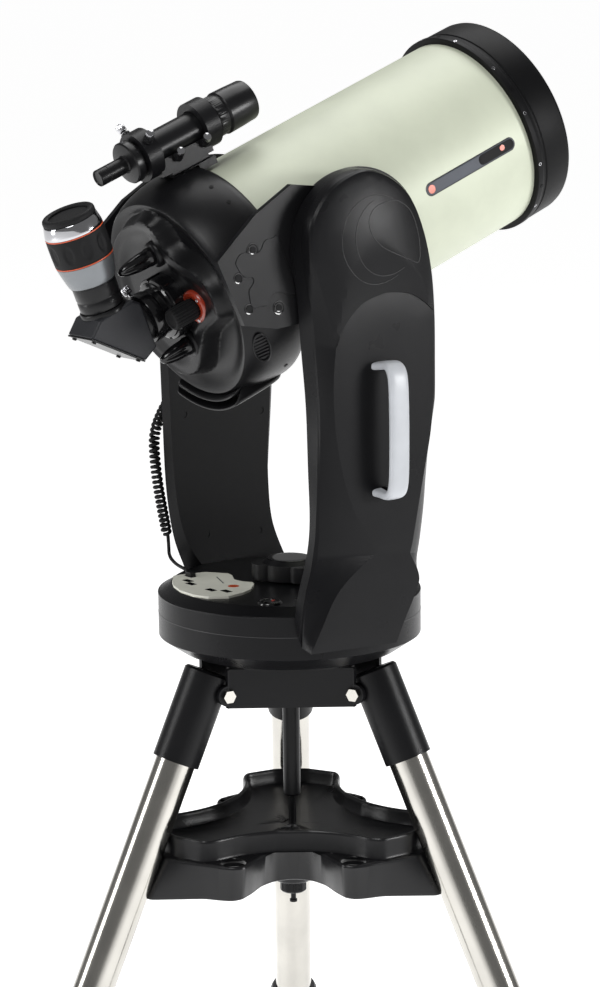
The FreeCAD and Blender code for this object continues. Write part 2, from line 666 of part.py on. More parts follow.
def cord_tube(name, route, radius):
    """Tube along straight runs joined by tangent arcs; prints the arcs' radii."""
    points = [V(*p) for p in route]
    pieces = []
    radii = []
    here = points[0]
    for k in range(1, len(points) - 1):
        before = points[k] - points[k - 1]
        after = points[k + 1] - points[k]
        half = before.getAngle(after) / 2
        back = 0.45 * min(before.Length, after.Length)
        radii.append(round(back / math.tan(half), 1))
        start = points[k] - before.normalize() * back
        end = points[k] + after.normalize() * back
        middle_way = (end - points[k]) + (start - points[k])
        bow = back / math.tan(half) * (1 / math.cos(half) - 1)
        middle = points[k] + middle_way.normalize() * bow
        pieces.append(Part.LineSegment(here, start).toShape())
        pieces.append(Part.Arc(start, middle, end).toShape())
        here = end
    pieces.append(Part.LineSegment(here, points[-1]).toShape())
    path = Part.Wire(pieces)
    circle = Part.Wire(Part.makeCircle(radius, points[0], points[1] - points[0]))
    tube = path.makePipeShell([circle], True, False)
    print(name, "bend radii", radii, "length", round(path.Length, 1),
          "volume ratio", round(tube.Volume / (math.pi * radius ** 2 * path.Length), 4))
    return tube


def cord_plug():
    """Modular plug standing in the panel's rear port, with a slanted boot."""
    x, y = PORTS[0]
    body = block(x - 6, x + 6, y - 4, y + 4, DRUM_TOP, DRUM_TOP + 9)
    boot = rod(3.0, (x - 4, y, DRUM_TOP + 6), TAIL_ROUTE[-1])
    return body.fuse(boot).cut(cord_tube("cord_tail", TAIL_ROUTE, CABLE_R))


# ---- optical tube, modelled level: x across, y along its axis, z up ----
def keep_tube(name, shape):
    """Tilt a piece of the level tube about the altitude axis and lift it to the pivot."""
    shape = turn(shape, TUBE_TILT, X)
    shape.translate(V(0, 0, PIVOT_Z))
    keep(name, shape)


def lathe(profile, x=0.0, u=0.0):
    """Revolve (radius, station) corners about a line along the tube."""
    return turned(profile, (x, 0, u), (0, 1, 0))


def upright(profile, s):
    """Revolve (radius, height) corners about a line square to the tube."""
    return turned(profile, (0, s, 0), (0, 0, 1))


def optical_tube():
    return lathe([(TUBE_R, TUBE_BACK - 10), (TUBE_R, 330), (TUBE_R - TUBE_WALL, 330),
                  (TUBE_R - TUBE_WALL, TUBE_BACK - 10)])


def radial_screw(angle, station, low, high, radius):
    a = math.radians(angle)
    way = V(math.cos(a), 0, math.sin(a))
    start = way * low + V(0, station, 0)
    return Part.makeCylinder(radius, high - low, start, way)


def ring_screws():
    return [radial_screw(30 + 60 * k, 316, 128, RING_R + 0.3, 2.6) for k in range(6)]


def cell_screws():
    angles = [84, 63, 50, 117, 130, 230, 250, 290, 310]
    return [radial_screw(a, -113, 136, 142.6, 2.6) for a in angles]


def bracket_screws():
    pieces = []
    for sign in (-1, 1):
        for s, u in BRACKET_SCREWS:
            pieces.append(rod(4.0, (sign * 141, s, u), (sign * 147, s, u)))
    return pieces


def front_ring():
    body = lathe([(TUBE_R, RING_BACK), (RING_R, RING_BACK), (RING_R, 317), (133.4, 320), (133.4, 323),
                  (132.2, 324), (132.2, 326), (133.4, 327), (132.8, 363), (129, RING_FRONT),
                  (122, RING_FRONT), (120, 362), (118.5, 357), (118.5, 350), (114, 350), (114, 346),
                  (124, 338), (124, 330), (TUBE_R, 330)])
    return body.cut(Part.makeCompound(ring_screws()))


def corrector_lens():
    return lathe([(35, 350), (118.5, 350), (118.5, 354.5), (35, 354.5)])


def secondary_cell():
    return lathe([(0, 336), (32, 336), (32, 342), (42, 342), (42, 350), (35, 350), (35, 354.5),
                  (43, 354.5), (43, 362), (39, 366), (0, 366)])


def baffle_tube():
    return lathe([(BAFFLE_R, -164), (BAFFLE_R, 140), (BAFFLE_R - 1.5, 140), (BAFFLE_R - 1.5, -164)])


def primary_mirror():
    """Spherical mirror with its long hub, sliding on the baffle tube."""
    back, front = MIRROR_PLACE
    bore = BAFFLE_R + FIT
    body = lathe([(bore, back - 14), (30, back - 14), (34, back), (MIRROR_R, back), (MIRROR_R, front),
                  (80, front - 5), (40, front - 7), (28, front - 7), (28, front + 14), (bore, front + 14)])
    x, u = FOCUS_KNOB
    lug = rod(9, (x, back - 22, u), (x, back + 4, u))
    return body.fuse(lug).cut(rod(3 + FIT, (x, back - 30, u), (x, back + 2, u)))


def focus_knob():
    """Rubber-covered knob with its long screw into the mirror's lug."""
    x, u = FOCUS_KNOB
    knob = lathe([(0, -221), (11, -221), (13.5, -218), (13.5, -184), (11.5, -182), (0, -182)], x, u)
    screw = rod(3, (x, -183, u), (x, MIRROR_PLACE[0] - 8.5, u))
    return knob.fuse(screw)


def rear_cell():
    """Cast rear cell: round front, flat cheeks, domed back with a recessed floor, finger lip."""
    body = lathe([(TUBE_R, -88), (139, -88), (142, -98), (142, -120), (138, -148), (127, -174),
                  (118, -187), (108, -192.5), (99, -190), (90, CELL_FLOOR), (0, CELL_FLOOR), (0, -164),
                  (116, -164), (124, -150), (124, -105), (TUBE_R, -105)])
    for sign in (-1, 1):
        body = body.cut(block(min(sign * CELL_FLAT, sign * 160), max(sign * CELL_FLAT, sign * 160),
                              -230, -80, -160, 160))
    lip = lathe([(124, -178), (136, -180), (136, -150), (143.5, -150), (143.5, -182), (147, -180),
                 (147, -112), (143, -106), (124, -106)])
    lip = lip.common(block(-92, 92, -200, -100, -160, -90))
    body = body.fuse(lip)
    for x, u in LOCK_KNOBS:
        body = body.fuse(rod(13, (x, CELL_FLOOR + 1, u), (x, -188, u)))
        body = body.cut(rod(3.5 + FIT, (x, -192, u), (x, -160, u)))
    x, u = FOCUS_KNOB
    rest = rod(22, (x, CELL_FLOOR + 1, u), (x, CELL_FLOOR - 3, u))
    body = body.fuse(rest.cut(rod(BACK_RING_R, (0, CELL_FLOOR, 0), (0, CELL_FLOOR - 9, 0))))
    body = body.cut(rod(3 + FIT, (x, -200, u), (x, -150, u)))
    body = body.cut(rod(BAFFLE_R, (0, -200, 0), (0, -150, 0)))
    for sign in (-1, 1):
        vent = rod(6, (sign * 130, -172, -72), (sign * 145, -172, -72))
        body = body.cut(vent)
    return body.cut(Part.makeCompound(cell_screws()))


def mirror_lock(place, end):
    """Tapered lock knob on its boss, with a threaded shank into the cell."""
    x, u = place
    grip = lathe([(0, end), (5.5, end), (7, end + 2), (9.5, -196), (11.5, -188.3), (0, -188.3)], x, u)
    return grip.fuse(rod(3.5, (x, -189, u), (x, -166, u)))


def side_brackets():
    """Cheek plate, flange and altitude shaft on each side of the tube."""
    outline = [(-187, 70), (-118, 98), (-57, 109), (-20, 90), (-20, -60), (-60, -62), (-111, -48),
               (-140, -40), (-181, -16)]
    cheek = side_plate(outline, CELL_FLAT, 145.6)
    flange = rod(FLANGE_R, (CELL_FLAT, 0, 0), (145.7, 0, 0))
    flange = flange.fuse(rod(84, (131, 0, 0), (CELL_FLAT, 0, 0)))
    shaft = rod(SHAFT_R, (144, 0, 0), (166, 0, 0))
    one = fuse([cheek.cut(rod(FLANGE_R - 1, (130, 0, 0), (150, 0, 0))), flange, shaft])
    strap = block(118, 135, -60, 60, -30, 30).cut(rod(TUBE_R, (0, -100, 0), (0, 100, 0)))
    one = one.fuse(strap)
    both = Part.makeCompound([one, mirrored(one)])
    return both.cut(Part.makeCompound(bracket_screws()))


def altitude_wheels():
    """Worm wheel on the far shaft and clutch disc on the near shaft, inside the arms."""
    wheel = toothed_wheel(45, 42.5, 60, 7, SHAFT_R)
    wheel.Placement = FreeCAD.Placement(V(-165, 0, 0), FreeCAD.Rotation(Z, X))
    disc = rod(45, (158, 0, 0), (165, 0, 0)).cut(rod(SHAFT_R, (150, 0, 0), (170, 0, 0)))
    return Part.makeCompound([wheel, disc])


# ---- finder ----
def finder_bracket():
    """Pedestal on the rear cell, with a cradle under the finder and a ring at each of its ends."""
    pieces = [block(FINDER_X - 16, FINDER_X + 16, -128, -62, 132, 142),
              block(FINDER_X - 12, FINDER_X + 12, -124, -68, 141, 152),
              block(FINDER_X - 20, FINDER_X + 20, -142, -64, 149, FINDER_U - 11)]
    for back, front in FINDER_RINGS:
        pieces.append(lathe([(21, back), (FINDER_RING_R, back), (FINDER_RING_R, front), (21, front)],
                            FINDER_X, FINDER_U))
    body = fuse(pieces).cut(lathe([(0, -250), (142, -250), (142, -88), (TUBE_R + 0.3, -88),
                                   (TUBE_R + 0.3, 100), (0, 100)]))
    body = body.cut(lathe([(0, -200), (FINDER_TUBE_R + 1, -200), (FINDER_TUBE_R + 1, 50), (0, 50)],
                          FINDER_X, FINDER_U))
    return body.cut(Part.makeCompound(finder_screw_list()))


def thumbscrew(touch, way, shank_start, nut_start):
    """Milled thumbscrew with a lock nut, pointing back at a place from a given distance."""
    shank = Part.makeCylinder(2.5, nut_start + 10 - shank_start, touch + way * shank_start, way)
    nut = Part.makeCylinder(6, 3.5, touch + way * (nut_start + 0.2), way)
    head = Part.makeCylinder(5.5, 11, touch + way * (nut_start + 6), way)
    return fuse([shank, nut, head])


def finder_screw_list():
    """Two aiming screws in the rear ring, and two lock screws in the side of the cradle."""
    pieces = []
    back, front = FINDER_RINGS[0]
    for angle in THUMB_ANGLES:
        a = math.radians(angle)
        way = V(math.cos(a), 0, math.sin(a))
        centre = V(FINDER_X, (back + front) / 2, FINDER_U)
        pieces.append(thumbscrew(centre, way, FINDER_TUBE_R, FINDER_RING_R))
    for station in LOCK_STATIONS:
        pieces.append(thumbscrew(V(FINDER_X + 14, station, 158), LOCK_WAY, 0, 8))
    return pieces


def finder_tube():
    r = FINDER_TUBE_R
    return lathe([(0, -215), (9.5, -216), (10.3, -214), (10.3, -176), (24, -174), (26, -172), (26, -162),
                  (r, -161), (r, -44), (25.5, -43), (25.5, -29), (27.2, -27), (27.2, 15), (25, 15),
                  (25, 2), (0, 2)], FINDER_X, FINDER_U)


# ---- visual back, star diagonal and eyepiece ----
def visual_back():
    """Threaded back ring, collar and compression ring around the diagonal's nose."""
    body = lathe([(BAFFLE_R, CELL_FLOOR), (BACK_RING_R, CELL_FLOOR), (BACK_RING_R, -200), (36, -203),
                  (30, -204), (30, -213), (31.5, -215), (31.5, -226), (29, -228), (NOSE_R + FIT, -228),
                  (NOSE_R + FIT, -197), (BAFFLE_R, -192)])
    screw_way = V(-math.sin(math.radians(40)), 0, math.cos(math.radians(40)))
    start = V(0, -220, 0) + screw_way * 30
    screw = Part.makeCylinder(2.5, 10, start, screw_way)
    head = Part.makeCylinder(5.5, 8, start + screw_way * 8, screw_way)
    return body.fuse(screw).fuse(head)


def diagonal():
    """Mirror housing with its nose, eyepiece socket and screwed mirror plate."""
    outline = [(-236, -30), (-236, 30), (-245, 38), (-297, 35), (-315, 21), (-256, -38)]
    housing = side_plate(outline, -28, 28)
    nose = lathe([(0, -234), (NOSE_R, -234), (NOSE_R, -200), (20, -200), (20, -232), (0, -232)])
    socket = upright([(0, 20), (EYE_SOCKET_R, 20), (EYE_SOCKET_R, 40), (0, 40)], DIAGONAL_S)
    body = fuse([housing, nose, socket])
    body = body.cut(rod(20, (0, -190, 0), (0, -284, 0)))
    light = upright([(0, -6), (22, -6), (22, 12), (NOSE_R + FIT, 12), (NOSE_R + FIT, 60), (0, 60)],
                    DIAGONAL_S)
    return body.cut(light)


def eyepiece():
    return upright([(0, 18), (NOSE_R, 14), (NOSE_R, 41), (27, 42), (27, 73), (29, 75), (33, 88), (36, 103),
                    (36.5, 112), (36.5, 138), (36, 139.5), (NECK_R, 139.5), (NECK_R, 158), (22, 158),
                    (22, 152), (0, 152)], DIAGONAL_S)


def eyecup():
    """Rubber cup that slides up on the eyepiece's neck."""
    return upright([(NECK_R + FIT, 140), (35.9, 140), (35.9, 141.5), (32.8, 154.5), (32.6, 161), (31, 163),
                    (25, 163), (24, 161.5), (24, 159), (NECK_R + FIT, 159)], DIAGONAL_S)


# ---- make every piece ----
keep("tripod_head", tripod_head())
keep("mount_plate", mount_plate())
keep("tripod_bolts", tripod_bolts())
keep("centre_rod", centre_rod())
wheel = toothed_wheel(60, 57, 72, 10, SPINDLE_R)
wheel.translate(V(0, 0, 40))
keep("azimuth_wheel", wheel)

for letter, direction in LEG_DIRECTIONS.items():
    keep("leg_fittings_" + letter, turn(leg_fittings(), direction))
    keep("leg_tube_" + letter, turn(leg_tube(), direction))
    keep("leg_knob_" + letter, turn(clamp_knob(), direction))
    keep("leg_extension_" + letter, turn(leg_extension(), direction))
    keep("leg_foot_" + letter, turn(leg_foot(), direction))

keep("accessory_tray", accessory_tray())
keep("tension_knob", tension_knob())

keep("base_lower_shell", base_lower_shell())
keep("base_upper_shell", base_upper_shell())
keep("control_panel", control_panel())
keep("power_switch", power_switch())
keep("clutch_knob", clutch_knob())
keep("near_arm_inner", inner_arm(NEAR_REAR, NEAR_FRONT))
keep("near_arm_outer", outer_arm(NEAR_REAR, NEAR_FRONT))
keep("far_arm_inner", mirrored(inner_arm(FAR_REAR, FAR_FRONT)))
keep("far_arm_outer", mirrored(outer_arm(FAR_REAR, FAR_FRONT)))
keep("carry_handle", carry_handle())
keep("fork_screws", fork_screws())
keep("drive_motors", drive_motors())
keep("control_cradle", control_cradle())
keep("hand_control", hand_control())
keep("keypad", keypad())
keep("cord_coil", cord_tube("cord_coil", CORD_ROUTE, COIL_R))
keep("cord_tail", cord_tube("cord_tail", TAIL_ROUTE, CABLE_R))
keep("cord_plug", cord_plug())

keep_tube("optical_tube", optical_tube())
keep_tube("front_ring", front_ring())
keep_tube("corrector_lens", corrector_lens())
keep_tube("secondary_cell", secondary_cell())
keep_tube("baffle_tube", baffle_tube())
keep_tube("primary_mirror", primary_mirror())
keep_tube("rear_cell", rear_cell())
keep_tube("tube_screws", Part.makeCompound(ring_screws() + cell_screws() + bracket_screws()))
keep_tube("side_brackets", side_brackets())
keep_tube("altitude_wheels", altitude_wheels())
keep_tube("finder_bracket", finder_bracket())
keep_tube("finder_tube", finder_tube())
keep_tube("finder_screws", Part.makeCompound(finder_screw_list()))
keep_tube("visual_back", visual_back())
keep_tube("focus_knob", focus_knob())
keep_tube("mirror_lock_a", mirror_lock(LOCK_KNOBS[0], -238))
keep_tube("mirror_lock_b", mirror_lock(LOCK_KNOBS[1], -232))
keep_tube("diagonal", diagonal())
keep_tube("eyepiece", eyepiece())
keep_tube("eyecup", eyecup())

for name, shape in made.items():
    shape.exportStep("parts/" + name + ".step")
    print(name, "solids", len(shape.Solids), "valid", shape.isValid())
print(len(made), "pieces")
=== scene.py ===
import json
from math import atan2, copysign, cos, pi, radians, sin, sqrt, tan

import bmesh
import bpy
import numpy as np
from mathutils import Matrix, Vector
from mathutils.geometry import delaunay_2d_cdt


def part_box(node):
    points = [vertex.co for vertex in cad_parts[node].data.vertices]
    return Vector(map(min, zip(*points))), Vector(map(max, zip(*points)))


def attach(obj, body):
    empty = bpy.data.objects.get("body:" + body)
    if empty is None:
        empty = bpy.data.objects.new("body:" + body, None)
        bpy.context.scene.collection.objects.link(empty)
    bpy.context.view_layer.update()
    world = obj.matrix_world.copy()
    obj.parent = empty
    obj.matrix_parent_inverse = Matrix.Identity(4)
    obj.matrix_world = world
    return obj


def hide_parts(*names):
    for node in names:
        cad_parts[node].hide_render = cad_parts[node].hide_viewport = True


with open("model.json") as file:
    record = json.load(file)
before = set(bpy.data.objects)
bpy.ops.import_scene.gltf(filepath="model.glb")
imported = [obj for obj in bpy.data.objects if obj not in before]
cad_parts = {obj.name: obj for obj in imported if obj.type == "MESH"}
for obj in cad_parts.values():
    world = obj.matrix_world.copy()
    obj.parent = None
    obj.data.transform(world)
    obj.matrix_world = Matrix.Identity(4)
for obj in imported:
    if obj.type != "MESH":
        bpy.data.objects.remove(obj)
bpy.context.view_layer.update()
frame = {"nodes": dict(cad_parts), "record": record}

# Telescope on a fork mount and a tripod: finer shapes and looks over the solid parts in the frame.
nodes = frame["nodes"]

# ---- places from the frame, in metres ----
joints = {j["name"]: j for j in frame["record"]["behaviour"]["joints"]}
PIVOT = Vector(joints["altitude_tilt"]["pos_m"])
TUBE_AXIS = Vector(joints["mirror_shift"]["axis"])
HEAD_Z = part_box("mount_plate")[0][2]
TILT = atan2(TUBE_AXIS.z, TUBE_AXIS.y)
TO_TUBE = Matrix.Translation(PIVOT) @ Matrix.Rotation(TILT, 4, "X")
MM = 0.001

# ---- sizes and places, in millimetres and degrees unless they say otherwise ----
# Camera, floor and light, in metres.
CAMERA_PLACE = Vector((2.8812, -2.0506, 1.6150))
CAMERA_TARGET = Vector((0.0088, 0.0122, 0.9424))
CAMERA_ROLL = -0.73
CAMERA_LENS = 104.12
FLOOR_REACH = 150.0
FLOOR_TONE = 0.93
FLOOR_GLOW = 0.8
SKY_STRENGTH = 0.2
LAMP_TARGET = Vector((0, 0, 1.0))
# name: place, width and height, power in watts
LAMPS = {"key": ((1.4, -2.4, 3.6), (1.4, 1.4), 60), "side": ((3.2, 2.3, 1.65), (1.1, 0.8), 85),
         "left": ((-1.6, -3.4, 1.7), (1.0, 2.4), 60), "top": ((-0.6, 0.8, 3.8), (2.2, 2.2), 55)}

# Near arm's cover: pairs of (y, z) round the arm, from the foot's rear corner over the head to its front corner:
# the seam against the inner half, and the crease where the outer face begins.
NEAR_PAIRS = [((-101, 52), (-100, 48)), ((-100, 80), (-81, 82)), ((-97, 104), (-66, 108)),
              ((-93, 124), (-50, 126)), ((-87, 143), (-26, 144)), ((-83, 162), (-2, 157)),
              ((-79, 187), (-19, 187)), ((-77, 216), (-34, 216)), ((-75, 253), (-47, 252)),
              ((-73, 300), (-58, 300)), ((-73, 343), (-62, 343)), ((-76, 384), (-62, 380)),
              ((-79, 420), (-58, 416)), ((-82, 450), (-67, 449)), ((-87, 484), (-79, 486)),
              ((-93, 522), (-88, 522)), ((-90, 566), (-84, 563)), ((-68, 599), (-63, 594)),
              ((-40, 617), (-37, 611)), ((-8, 624), (-7, 618)), ((28, 613), (26, 607)),
              ((58, 588), (53, 584)), ((78, 548), (72, 545)), ((90, 497), (84, 497)),
              ((95, 440), (88, 448)), ((95, 387), (89, 387)), ((95, 340), (88, 340)),
              ((92, 300), (84, 300)), ((90, 262), (76, 262)), ((86, 210), (65, 212)),
              ((80, 168), (56, 170)), ((76, 148), (51, 152)), ((70, 124), (65, 123)),
              ((62, 106), (60, 103)), ((46, 72), (43, 71)), ((33, 46), (29, 43))]
# Places in that list: sharp corners, the rounded part, and the ends of the shield and of the foot.
NEAR_CORNERS = (5, 12, 31)
ROUND_FROM, ROUND_TO = 15, 26
SHIELD_ENDS = (12, 24)
FOOT_ENDS = (5, 31)
SHIELD_TOP = [(-58, 416), (-45, 441), (-22, 463), (2, 472), (23, 475), (53, 471), (75, 459), (88, 448)]
# Share of the way from the seam to the crease, across and outward, for a rounded and a bevelled side.
ROUND_SIDE = [(0, 0), (0.03, 0.45), (0.18, 0.74), (0.5, 0.93), (1, 1)]
BEVELLED_SIDE = [(0, 0), (0.06, 0.16), (0.3, 0.45), (0.65, 0.75), (1, 1)]
SEAM_X = 166.0
FACE_X = 184.0
SHIELD_STEP = 1.3
CAP_RISE = 10.0
CAP_REACH = 75.0
PER_PAIR = 6
NET_SPACING = 6.0

# Carrying handle: middle of the bar as (x, z), and how many times wider it is there.
HANDLE_PATH = [(FACE_X, 388, 1.3), (192, 389, 1.1), (203, 390, 1.0), (211, 385, 1.0), (215, 373, 1.0),
               (216.5, 350, 1.0), (217, 311, 1.0), (216.5, 272, 1.0), (215, 249, 1.0), (211, 237, 1.0),
               (203, 232, 1.0), (192, 233, 1.1), (FACE_X, 234, 1.3)]
HANDLE_Y = 10
HANDLE_HALF_WIDTH = 13.5
HANDLE_HALF_DEPTH = 5.2
HANDLE_BLUNTNESS = 0.6

# Cord; the coil's own sizes are in metres.
CORD_ROUTE = [(-204, -20, 352), (-204, -29, 322), (-194, -60, 295), (-181, -83, 268), (-176, -85, 232),
              (-177, -80, 196), (-181, -71, 160), (-185, -63, 132), (-186, -60, 112)]
CORD_TAIL = [(-183, -62, 106.5), (-174, -65.5, 102.5), (-160, -70, 100.5), (-142, -76, 100),
             (-124, -82, 101), (-108, -87, 102), (-97, -90.5, 101.5)]
CORD_R = 2.3
COIL_MIDDLE_R = 0.0052
COIL_PITCH = 0.0068
COIL_STRAIGHT = 0.018
COIL_STEPS = 14

# Rear cell, brackets and what is on them; (x, s, u) is across, along the tube and up from its axis.
CREST_R = 126.5
DISH_S = -164.0
PLATEAU_S = -186.0
PLATEAU = [(-13, 109), (5, 114), (22, 108), (30, 92), (37, 75), (52, 63), (73, 56), (92, 45), (105, 33),
           (112, 15), (105, -6), (88, -17), (71, -26), (56, -36), (46, -48), (36, -62), (24, -78),
           (4, -94), (-30, -100), (-66, -84), (-94, -54), (-108, -10), (-104, 36), (-82, 72), (-48, 97)]
CELL_PROFILE = [(126.5, -174), (129, -171.5), (132.5, -164), (136.5, -152), (139.5, -138), (141.5, -122),
                (142, -112), (142, -100), (141, -94), (139.5, -90.5), (138, -88.6), (127, -88)]
CELL_SCREW_WAYS = (84, 63, 50, 117, 130, 230, 250, 290, 310)
CHEEK_X = 138.0
LIP_HALF_ANGLE = 29.0
VENT_MIDDLE = (122, -155, -60)
VENT_WAY = Vector((0.86, -0.34, -0.39))
VENT_HALF = (9.5, 21)
JIGSAW = [(-98, 64), (-106, 63), (-114, 65), (-120, 63), (-125, 58), (-132, 56), (-140, 58), (-147, 63),
          (-154, 65), (-161, 62), (-165, 57), (-164, 48), (-162, 41), (-157, 35), (-151, 33), (-149, 29),
          (-152, 25), (-158, 22), (-161, 18), (-163, 9), (-164, 2), (-160, -3), (-152, -5), (-144, -8),
          (-140, -6), (-136, -2), (-130, 1), (-123, 0), (-117, -4), (-110, -9), (-98, -14)]
CHEEK_TOP = 145.6
# along the tube, up from its axis, and the head's radius
CHEEK_SCREWS = ((-137, 62, 6.5), (-129, -17, 6.5), (-168, 40, 4.5), (-168, 0, 4.5))
FOCUS_PLACE = (54.5, 1.0)
# letter: place (x, u) and where its end is along the tube
LOCKS = {"a": ((3, 66), -238.0), "b": ((16, -52), -232.0)}
LOCK_SEAT = -188.4

# Star diagonal, eyepiece and eyecup.
DIAGONAL_S = -272.0
PLATE_START, PLATE_END = Vector((0, -314.5, 21)), Vector((0, -256, -37.5))

# Finder and tube.
FINDER_PLACE = (-4.0, 180.0)
TUBE_R = 126.6

# Drive base.
SWITCH_PLACE = (92.0, -95.0)
PORTS = ((-86, -93), (-66, -110), (-49, -117), (-4, -117), (14, -106))
PORT_HALF = (7.9, 4.4)

# Accessory tray and the legs it meets; heights are from the foot of the drive base.
TRAY_RIM_TOP, TRAY_DECK, TRAY_LEDGE, TRAY_BOTTOM = -207.0, -226.0, -234.0, -286.0
TRAY_BAY_CENTRE, TRAY_BAY_R = 240.0, 145.0
TRAY_HOLE = (132.5, 80.0)
TRAY_HOLE_R = 16.2
LEG_WAYS = [radians(degrees) for degrees in (24.8, 144.8, 264.8)]
LEG_TILT = radians(24.1)
LEG_TOP_R = 115.5
LEG_TUBE_R = 25.4
TIP_OVERLAP = 4.5
CORNER_CUT = 7.0
ARM_POINTS = 84


# ---- camera, floor and light ----
def linked(name, data):
    """New object in the scene, made of a mesh, curve, lamp or camera."""
    thing = bpy.data.objects.new(name, data)
    bpy.context.collection.objects.link(thing)
    return thing


def add_camera():
    """Camera at the viewing angle, with a slight roll."""
    data = bpy.data.cameras.new("camera")
    data.lens = CAMERA_LENS
    data.sensor_width = 36
    data.clip_end = 500
    camera = linked("camera", data)
    look = (CAMERA_TARGET - CAMERA_PLACE).to_track_quat("-Z", "Y").to_matrix().to_4x4()
    roll = Matrix.Rotation(radians(CAMERA_ROLL), 4, "Z")
    camera.matrix_world = Matrix.Translation(CAMERA_PLACE) @ look @ roll
    bpy.context.scene.camera = camera


def add_stage():
    """Pale floor that glows a little, so that it stays even out to its edge."""
    mesh = bpy.data.meshes.new("floor")
    far = FLOOR_REACH
    mesh.from_pydata([(-far, -far, 0), (far, -far, 0), (far, far, 0), (-far, far, 0)], [], [(0, 1, 2, 3)])
    floor = linked("floor", mesh)
    paper = bpy.data.materials.new("floor")
    paper.use_nodes = True
    shader = paper.node_tree.nodes["Principled BSDF"]
    shader.inputs["Base Color"].default_value = (FLOOR_TONE, FLOOR_TONE, FLOOR_TONE, 1)
    shader.inputs["Roughness"].default_value = 0.9
    shader.inputs["Specular IOR Level"].default_value = 0.0
    shader.inputs["Emission Color"].default_value = (1, 1, 1, 1)
    shader.inputs["Emission Strength"].default_value = FLOOR_GLOW
    mesh.materials.append(paper)


def add_lamp(name, place, size, power):
    """Soft rectangular lamp that faces the middle of the telescope."""
    data = bpy.data.lights.new(name, "AREA")
    data.shape = "RECTANGLE"
    data.size, data.size_y = size
    data.energy = power
    lamp = linked(name, data)
    lamp.location = place
    lamp.rotation_euler = (LAMP_TARGET - Vector(place)).to_track_quat("-Z", "Y").to_euler()


def add_light():
    """Even white surroundings and four soft lamps."""
    world = bpy.data.worlds.new("studio")
    bpy.context.scene.world = world
    world.use_nodes = True
    sky = world.node_tree.nodes["Background"]
    sky.inputs["Color"].default_value = (1, 1, 1, 1)
    sky.inputs["Strength"].default_value = SKY_STRENGTH
    for name, (place, size, power) in LAMPS.items():
        add_lamp(name, place, size, power)
    bpy.context.scene.view_settings.view_transform = "Standard"


# ---- materials ----
def new_material(name):
    material = bpy.data.materials.new(name)
    material.use_nodes = True
    return material, material.node_tree, material.node_tree.nodes["Principled BSDF"]


def noise(tree, scale, detail=3.0):
    """Noise texture in the piece's own coordinates."""
    coordinates = tree.nodes.new("ShaderNodeTexCoord")
    texture = tree.nodes.new("ShaderNodeTexNoise")
    texture.inputs["Scale"].default_value = scale
    texture.inputs["Detail"].default_value = detail
    texture.inputs["Roughness"].default_value = 0.6
    tree.links.new(coordinates.outputs["Object"], texture.inputs["Vector"])
    return texture


def ramp(tree, source, low, high):
    """Maps a texture's value to the range between two numbers."""
    node = tree.nodes.new("ShaderNodeMapRange")
    node.inputs["From Min"].default_value = 0.3
    node.inputs["From Max"].default_value = 0.7
    node.inputs["To Min"].default_value = low
    node.inputs["To Max"].default_value = high
    tree.links.new(source, node.inputs["Value"])
    return node.outputs["Result"]


def mixed(tree, source, one, two):
    """Blends two colours by a texture's value."""
    node = tree.nodes.new("ShaderNodeValToRGB")
    node.color_ramp.elements[0].position = 0.35
    node.color_ramp.elements[1].position = 0.65
    node.color_ramp.elements[0].color = (*one, 1)
    node.color_ramp.elements[1].color = (*two, 1)
    tree.links.new(source, node.inputs["Fac"])
    return node.outputs["Color"]


def surface(name, colour, rough, grain=900, depth=0.01, spread=0.05, metal=0.0, coat=0.0, specular=0.5):
    """Moulded, cast or painted surface: a fine grain in its relief, and slow changes of tone and gloss."""
    material, tree, shader = new_material(name)
    slow = noise(tree, 18.0)
    fine = noise(tree, grain, 2.0)
    lighter = tuple(min(1.0, c * (1 + spread)) for c in colour)
    darker = tuple(c * (1 - spread) for c in colour)
    tree.links.new(mixed(tree, slow.outputs["Fac"], darker, lighter), shader.inputs["Base Color"])
    tree.links.new(ramp(tree, slow.outputs["Fac"], rough * 0.97, min(1.0, rough * 1.04)),
                   shader.inputs["Roughness"])
    shader.inputs["Metallic"].default_value = metal
    shader.inputs["Coat Weight"].default_value = coat
    shader.inputs["Coat Roughness"].default_value = 0.12
    shader.inputs["Specular IOR Level"].default_value = specular
    bump = tree.nodes.new("ShaderNodeBump")
    bump.inputs["Strength"].default_value = depth * 10
    bump.inputs["Distance"].default_value = 0.0003
    tree.links.new(fine.outputs["Fac"], bump.inputs["Height"])
    tree.links.new(bump.outputs["Normal"], shader.inputs["Normal"])
    return material


def glass(name, colour):
    """Clear, faintly tinted glass."""
    material, _, shader = new_material(name)
    shader.inputs["Base Color"].default_value = (*colour, 1)
    shader.inputs["Roughness"].default_value = 0.03
    shader.inputs["Transmission Weight"].default_value = 0.85
    shader.inputs["IOR"].default_value = 1.5
    shader.inputs["Coat Weight"].default_value = 0.6
    return material


